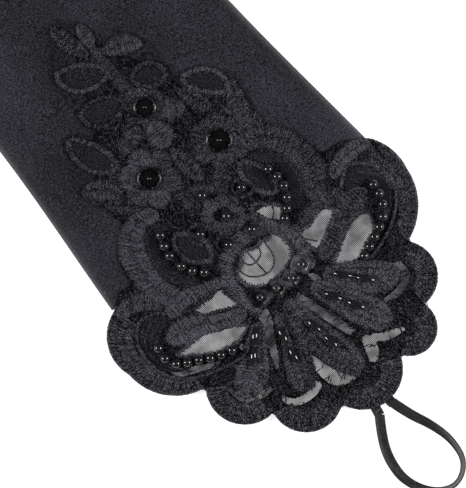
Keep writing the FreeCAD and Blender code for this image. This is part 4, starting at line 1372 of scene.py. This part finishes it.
def turned(shape, centre, axis, radius, half_length, hole=0.35, length_power=2.0, full=2.0):
    """A drilled bead turned about its thread, round where both powers are 2."""
    side = unit(np.cross(axis, [0, 0, 1.0] if abs(axis[2]) < 0.9 else [1.0, 0, 0]))
    limit = (1 - (hole / radius) ** full) ** (1 / length_power)
    t = limit * np.sin(np.linspace(-math.pi / 2, math.pi / 2, BEAD_ROWS))
    reach = radius * (1 - np.abs(t) ** length_power) ** (1 / full)
    spin = circle(BEAD_COLUMNS)[:, None]
    around = side * np.cos(spin) + np.cross(axis, side) * np.sin(spin)
    rings = centre + axis * (half_length * t)[:, None, None] + around * reach[:, None, None]
    shape.grid(rings[::-1], wrap=True, loop=True)


def holding_thread(shape, centre, axis, reach, drop):
    """The thread through a bead, coming up out of the net and back down to it."""
    ends = [centre + axis * far - np.array([0, 0, drop]) for far in (-reach - 0.6, reach + 0.6)]
    line = [ends[0], centre - axis * reach, centre, centre + axis * reach, ends[1]]
    shape.tube(smooth_line(line, 0.4), HOLDING_RADIUS, 6, slot=1)


def thread_axis(places, k):
    """From a bead to its nearest neighbour, or across the hand if it stands alone."""
    gaps = [np.linalg.norm(p - places[k]) if i != k else math.inf for i, p in enumerate(places)]
    nearest = int(np.argmin(gaps))
    if gaps[nearest] > NEIGHBOUR_REACH:
        return np.array([1.0, 0.0, 0.0])
    return unit((places[nearest] - places[k]) * np.array([1, 1, 0.3]))


def add_pearls():
    for place in ("left_scroll", "right_scroll", "hand", "left_fan", "right_fan"):
        name = place + "_pearls"
        shape = Shape()
        groups = solids(name)
        centres = [middle(points) for points in groups]
        for k, centre in enumerate(centres):
            radius = np.ptp(groups[k][:, 2]) / 2
            axis = thread_axis(centres, k)
            turned(shape, centre, axis, radius, radius)
            holding_thread(shape, centre, axis, radius * 0.9, radius * 0.8)
        shape.piece(name + "_turned", [PEARL, THREAD], body_with(name), "pearl", [name], lace=False)


def add_rice_beads():
    shape = Shape()
    for points in solids("rice_beads"):
        axis = long_axis(points)
        half_length = np.ptp(points @ axis) / 2
        centre = middle(points)
        turned(shape, centre, axis, RICE_RADIUS, half_length + 0.1, hole=0.3, length_power=2.1, full=1.15)
        holding_thread(shape, centre, axis, half_length - 0.1, 0.6)
    shape.piece("rice_beads_turned", [RICE, THREAD], "lace_fan", "rice", ["rice_beads"], lace=False)


def add_seed_beads():
    shape = Shape()
    for points in solids("sequin_seed_beads"):
        radius = np.ptp(points[:, 0]) / 2
        turned(shape, middle(points), np.array([0, 0, 1.0]), radius, radius * 0.8,
               hole=0.3, length_power=2.4, full=3.0)
    shape.piece("seed_beads_turned", [SEED], "lace_fan", "seed", ["sequin_seed_beads"], lace=False)


# Reach as a share of the radius, and rise in millimetres; the rings outside the hole are six-sided.
SEQUIN_HOLE = [(0.12, 0.0), (0.3, 0.0)]
SEQUIN_FACETS = [(0.5, 0.06), (0.54, 0.10), (0.80, 0.34), (0.84, 0.35), (1.04, 0.40)]
SIDE_COLUMNS = 4                       # faces along each of a ring's six sides
SEQUIN_CORNERS = 1.03                  # reach of a six-sided ring's corners
SEQUIN_THICK = 0.12
SEQUIN_LEAN = math.radians(5)
# Painted light and shade of the sequins: one share for each ring of faces, with painted shade in the thin
# rings where the facets meet, and one for each sequin's brightest facet, the overlapped ones painted darker.
RING_PAINTED_LIGHT = [0.5, 0.05, 0.85, 0.05, 0.55, 0.3, 0.1]
SEQUIN_PAINTED_LIGHT = (1.0, 0.8, 0.45, 0.15)  # brightest facet of each sequin, from right to left


def six_sided(angles):
    """Reach of a hexagon at each angle."""
    step = math.pi / 3
    return SEQUIN_CORNERS * math.cos(step / 2) / np.cos((angles + step / 2) % step - step / 2)


def painted_facet_light(rings, brightest):
    """Painted light and shade for each of the six sides, painted darker where the facets meet."""
    side = (np.arange(6 * SIDE_COLUMNS) // SIDE_COLUMNS * 0.37) % 1.0
    return (brightest * np.resize(RING_PAINTED_LIGHT, rings)[:, None] * (0.35 + 0.65 * side)).ravel()


def add_sequins():
    """Shallow faceted cups, each leaning on the next."""
    shape = Shape()
    angles = circle(6 * SIDE_COLUMNS)
    reaches = SEQUIN_HOLE + [(share * six_sided(angles), rise) for share, rise in SEQUIN_FACETS]
    for k, points in enumerate(sorted(solids("sequins"), key=lambda p: -middle(p)[0])):
        radius = np.ptp(points[:, 0]) / 2
        rows = []
        for reach, rise in reaches:
            x, y = radius * reach * np.cos(angles + k), radius * reach * np.sin(angles + k)
            rows.append(np.column_stack([x, y, rise + x * math.sin(SEQUIN_LEAN)]))
        top = middle(points) + np.array(rows)
        both = np.concatenate([top, (top - np.array([0, 0, SEQUIN_THICK]))[::-1]])
        shape.grid(both[::-1], wrap=True, loop=True)
        # The sequin's faces get painted light and shade of its facets.
        shape.tones[-1] = painted_facet_light(len(both), SEQUIN_PAINTED_LIGHT[k])
    shape.piece("sequin_cups", [SEQUIN], "lace_fan", "sequin", ["sequins"], lace=False, smooth=False)


# Radius and height of a stone from its foot up: a girdle, then a pointed crown.
STONE_PROFILE = [(0.3, 0.0), (0.97, 0.08), (1.0, 0.12), (0.97, 0.16), (0.92, 0.20), (0.50, 0.61),
                 (0.17, 0.92), (0.11, 0.962), (0.05, 0.99), (0.01, 1.0)]
CUP_WIRES = [(1.02, 0.05), (1.10, 0.45)]
CLAW = [(1.02, 0.05), (1.12, 0.3), (1.12, 0.55), (1.0, 0.72), (0.88, 0.78)]
CLAWS, CLAW_RADIUS, WIRE_RADIUS = 8, 0.17, 0.2
STONE_COLUMNS, WIRE_COLUMNS = 24, 32


def stone_points(points, angles, profile):
    """A ring of points for each radius and height of a profile, given as shares of a stone's own."""
    low, high = points[:, 2].min(), points[:, 2].max()
    foot = np.array([*middle(points)[:2], low])
    flat = np.column_stack([np.cos(angles), np.sin(angles), np.zeros(len(angles))]) * np.ptp(points[:, 0]) / 2
    return np.array([foot + flat * reach + np.array([0, 0, (high - low) * rise]) for reach, rise in profile])


def add_stones():
    stones, claws = Shape(), Shape()
    for points in solids("rhinestones"):
        rings = stone_points(points, circle(STONE_COLUMNS), STONE_PROFILE)
        stones.grid(rings[::-1], wrap=True)
        stones.close(rings)
        add_claws(claws, points)
    stones.piece("domed_stones", [STONE], "sleeve", "stone", ["rhinestones"], lace=False)
    claws.piece("stone_claws", [SETTING], "sleeve", "setting", ["rhinestone_settings"], lace=False)


def add_claws(shape, points):
    """A wire cup round a stone with claws bent over its edge."""
    for wire in stone_points(points, circle(WIRE_COLUMNS), CUP_WIRES):
        shape.tube(wire, WIRE_RADIUS, closed=True)
    lines = stone_points(points, circle(CLAWS) + math.pi / CLAWS, CLAW)
    for k in range(CLAWS):
        shape.tube(smooth_line(lines[:, k], 0.25), CLAW_RADIUS)


def add_beads():
    add_pearls()
    add_rice_beads()
    add_seed_beads()
    add_sequins()
    add_stones()


# ---------------- studio
LAMP_LEAN = math.radians(51)
LAMP_REACH = 1600.0
LAMP_WATTS = 15.0
LAMP_SIZE = 0.5
WORLD_STRENGTH = 0.09
FLOOR_SIZE, FLOOR_DEPTH = 6.0, 0.0002
WHITE = (1, 1, 1, 1)


def add_lamp(name, side):
    data = bpy.data.lights.new(name, "AREA")
    data.energy = LAMP_WATTS
    data.size = LAMP_SIZE
    lamp = show(name, data)
    centre = np.array([*VIEW_CENTRE, 0.0])
    away = IMAGE_RIGHT * side * math.sin(LAMP_LEAN) + np.array([0, 0, math.cos(LAMP_LEAN)])
    lamp.location = Vector((centre + away * LAMP_REACH) * MM)
    lamp.rotation_euler = Vector(away).to_track_quat("Z", "Y").to_euler()


def add_studio():
    bpy.ops.mesh.primitive_plane_add(size=FLOOR_SIZE, location=(0, 0, -FLOOR_DEPTH))
    floor = bpy.context.object
    floor.name = "floor"
    floor.data.materials.append(floor_material())
    world = bpy.data.worlds.new("studio")
    world.use_nodes = True
    background = world.node_tree.nodes["Background"]
    background.inputs["Color"].default_value = WHITE
    background.inputs["Strength"].default_value = WORLD_STRENGTH
    bpy.context.scene.world = world
    add_lamp("left_softbox", -1)
    add_lamp("right_softbox", 1)
    bpy.context.scene.view_settings.view_transform = "Standard"


add_camera()
add_finger_loop()
add_sewn_tails()
add_tube()
add_lace()
add_beads()
add_studio()
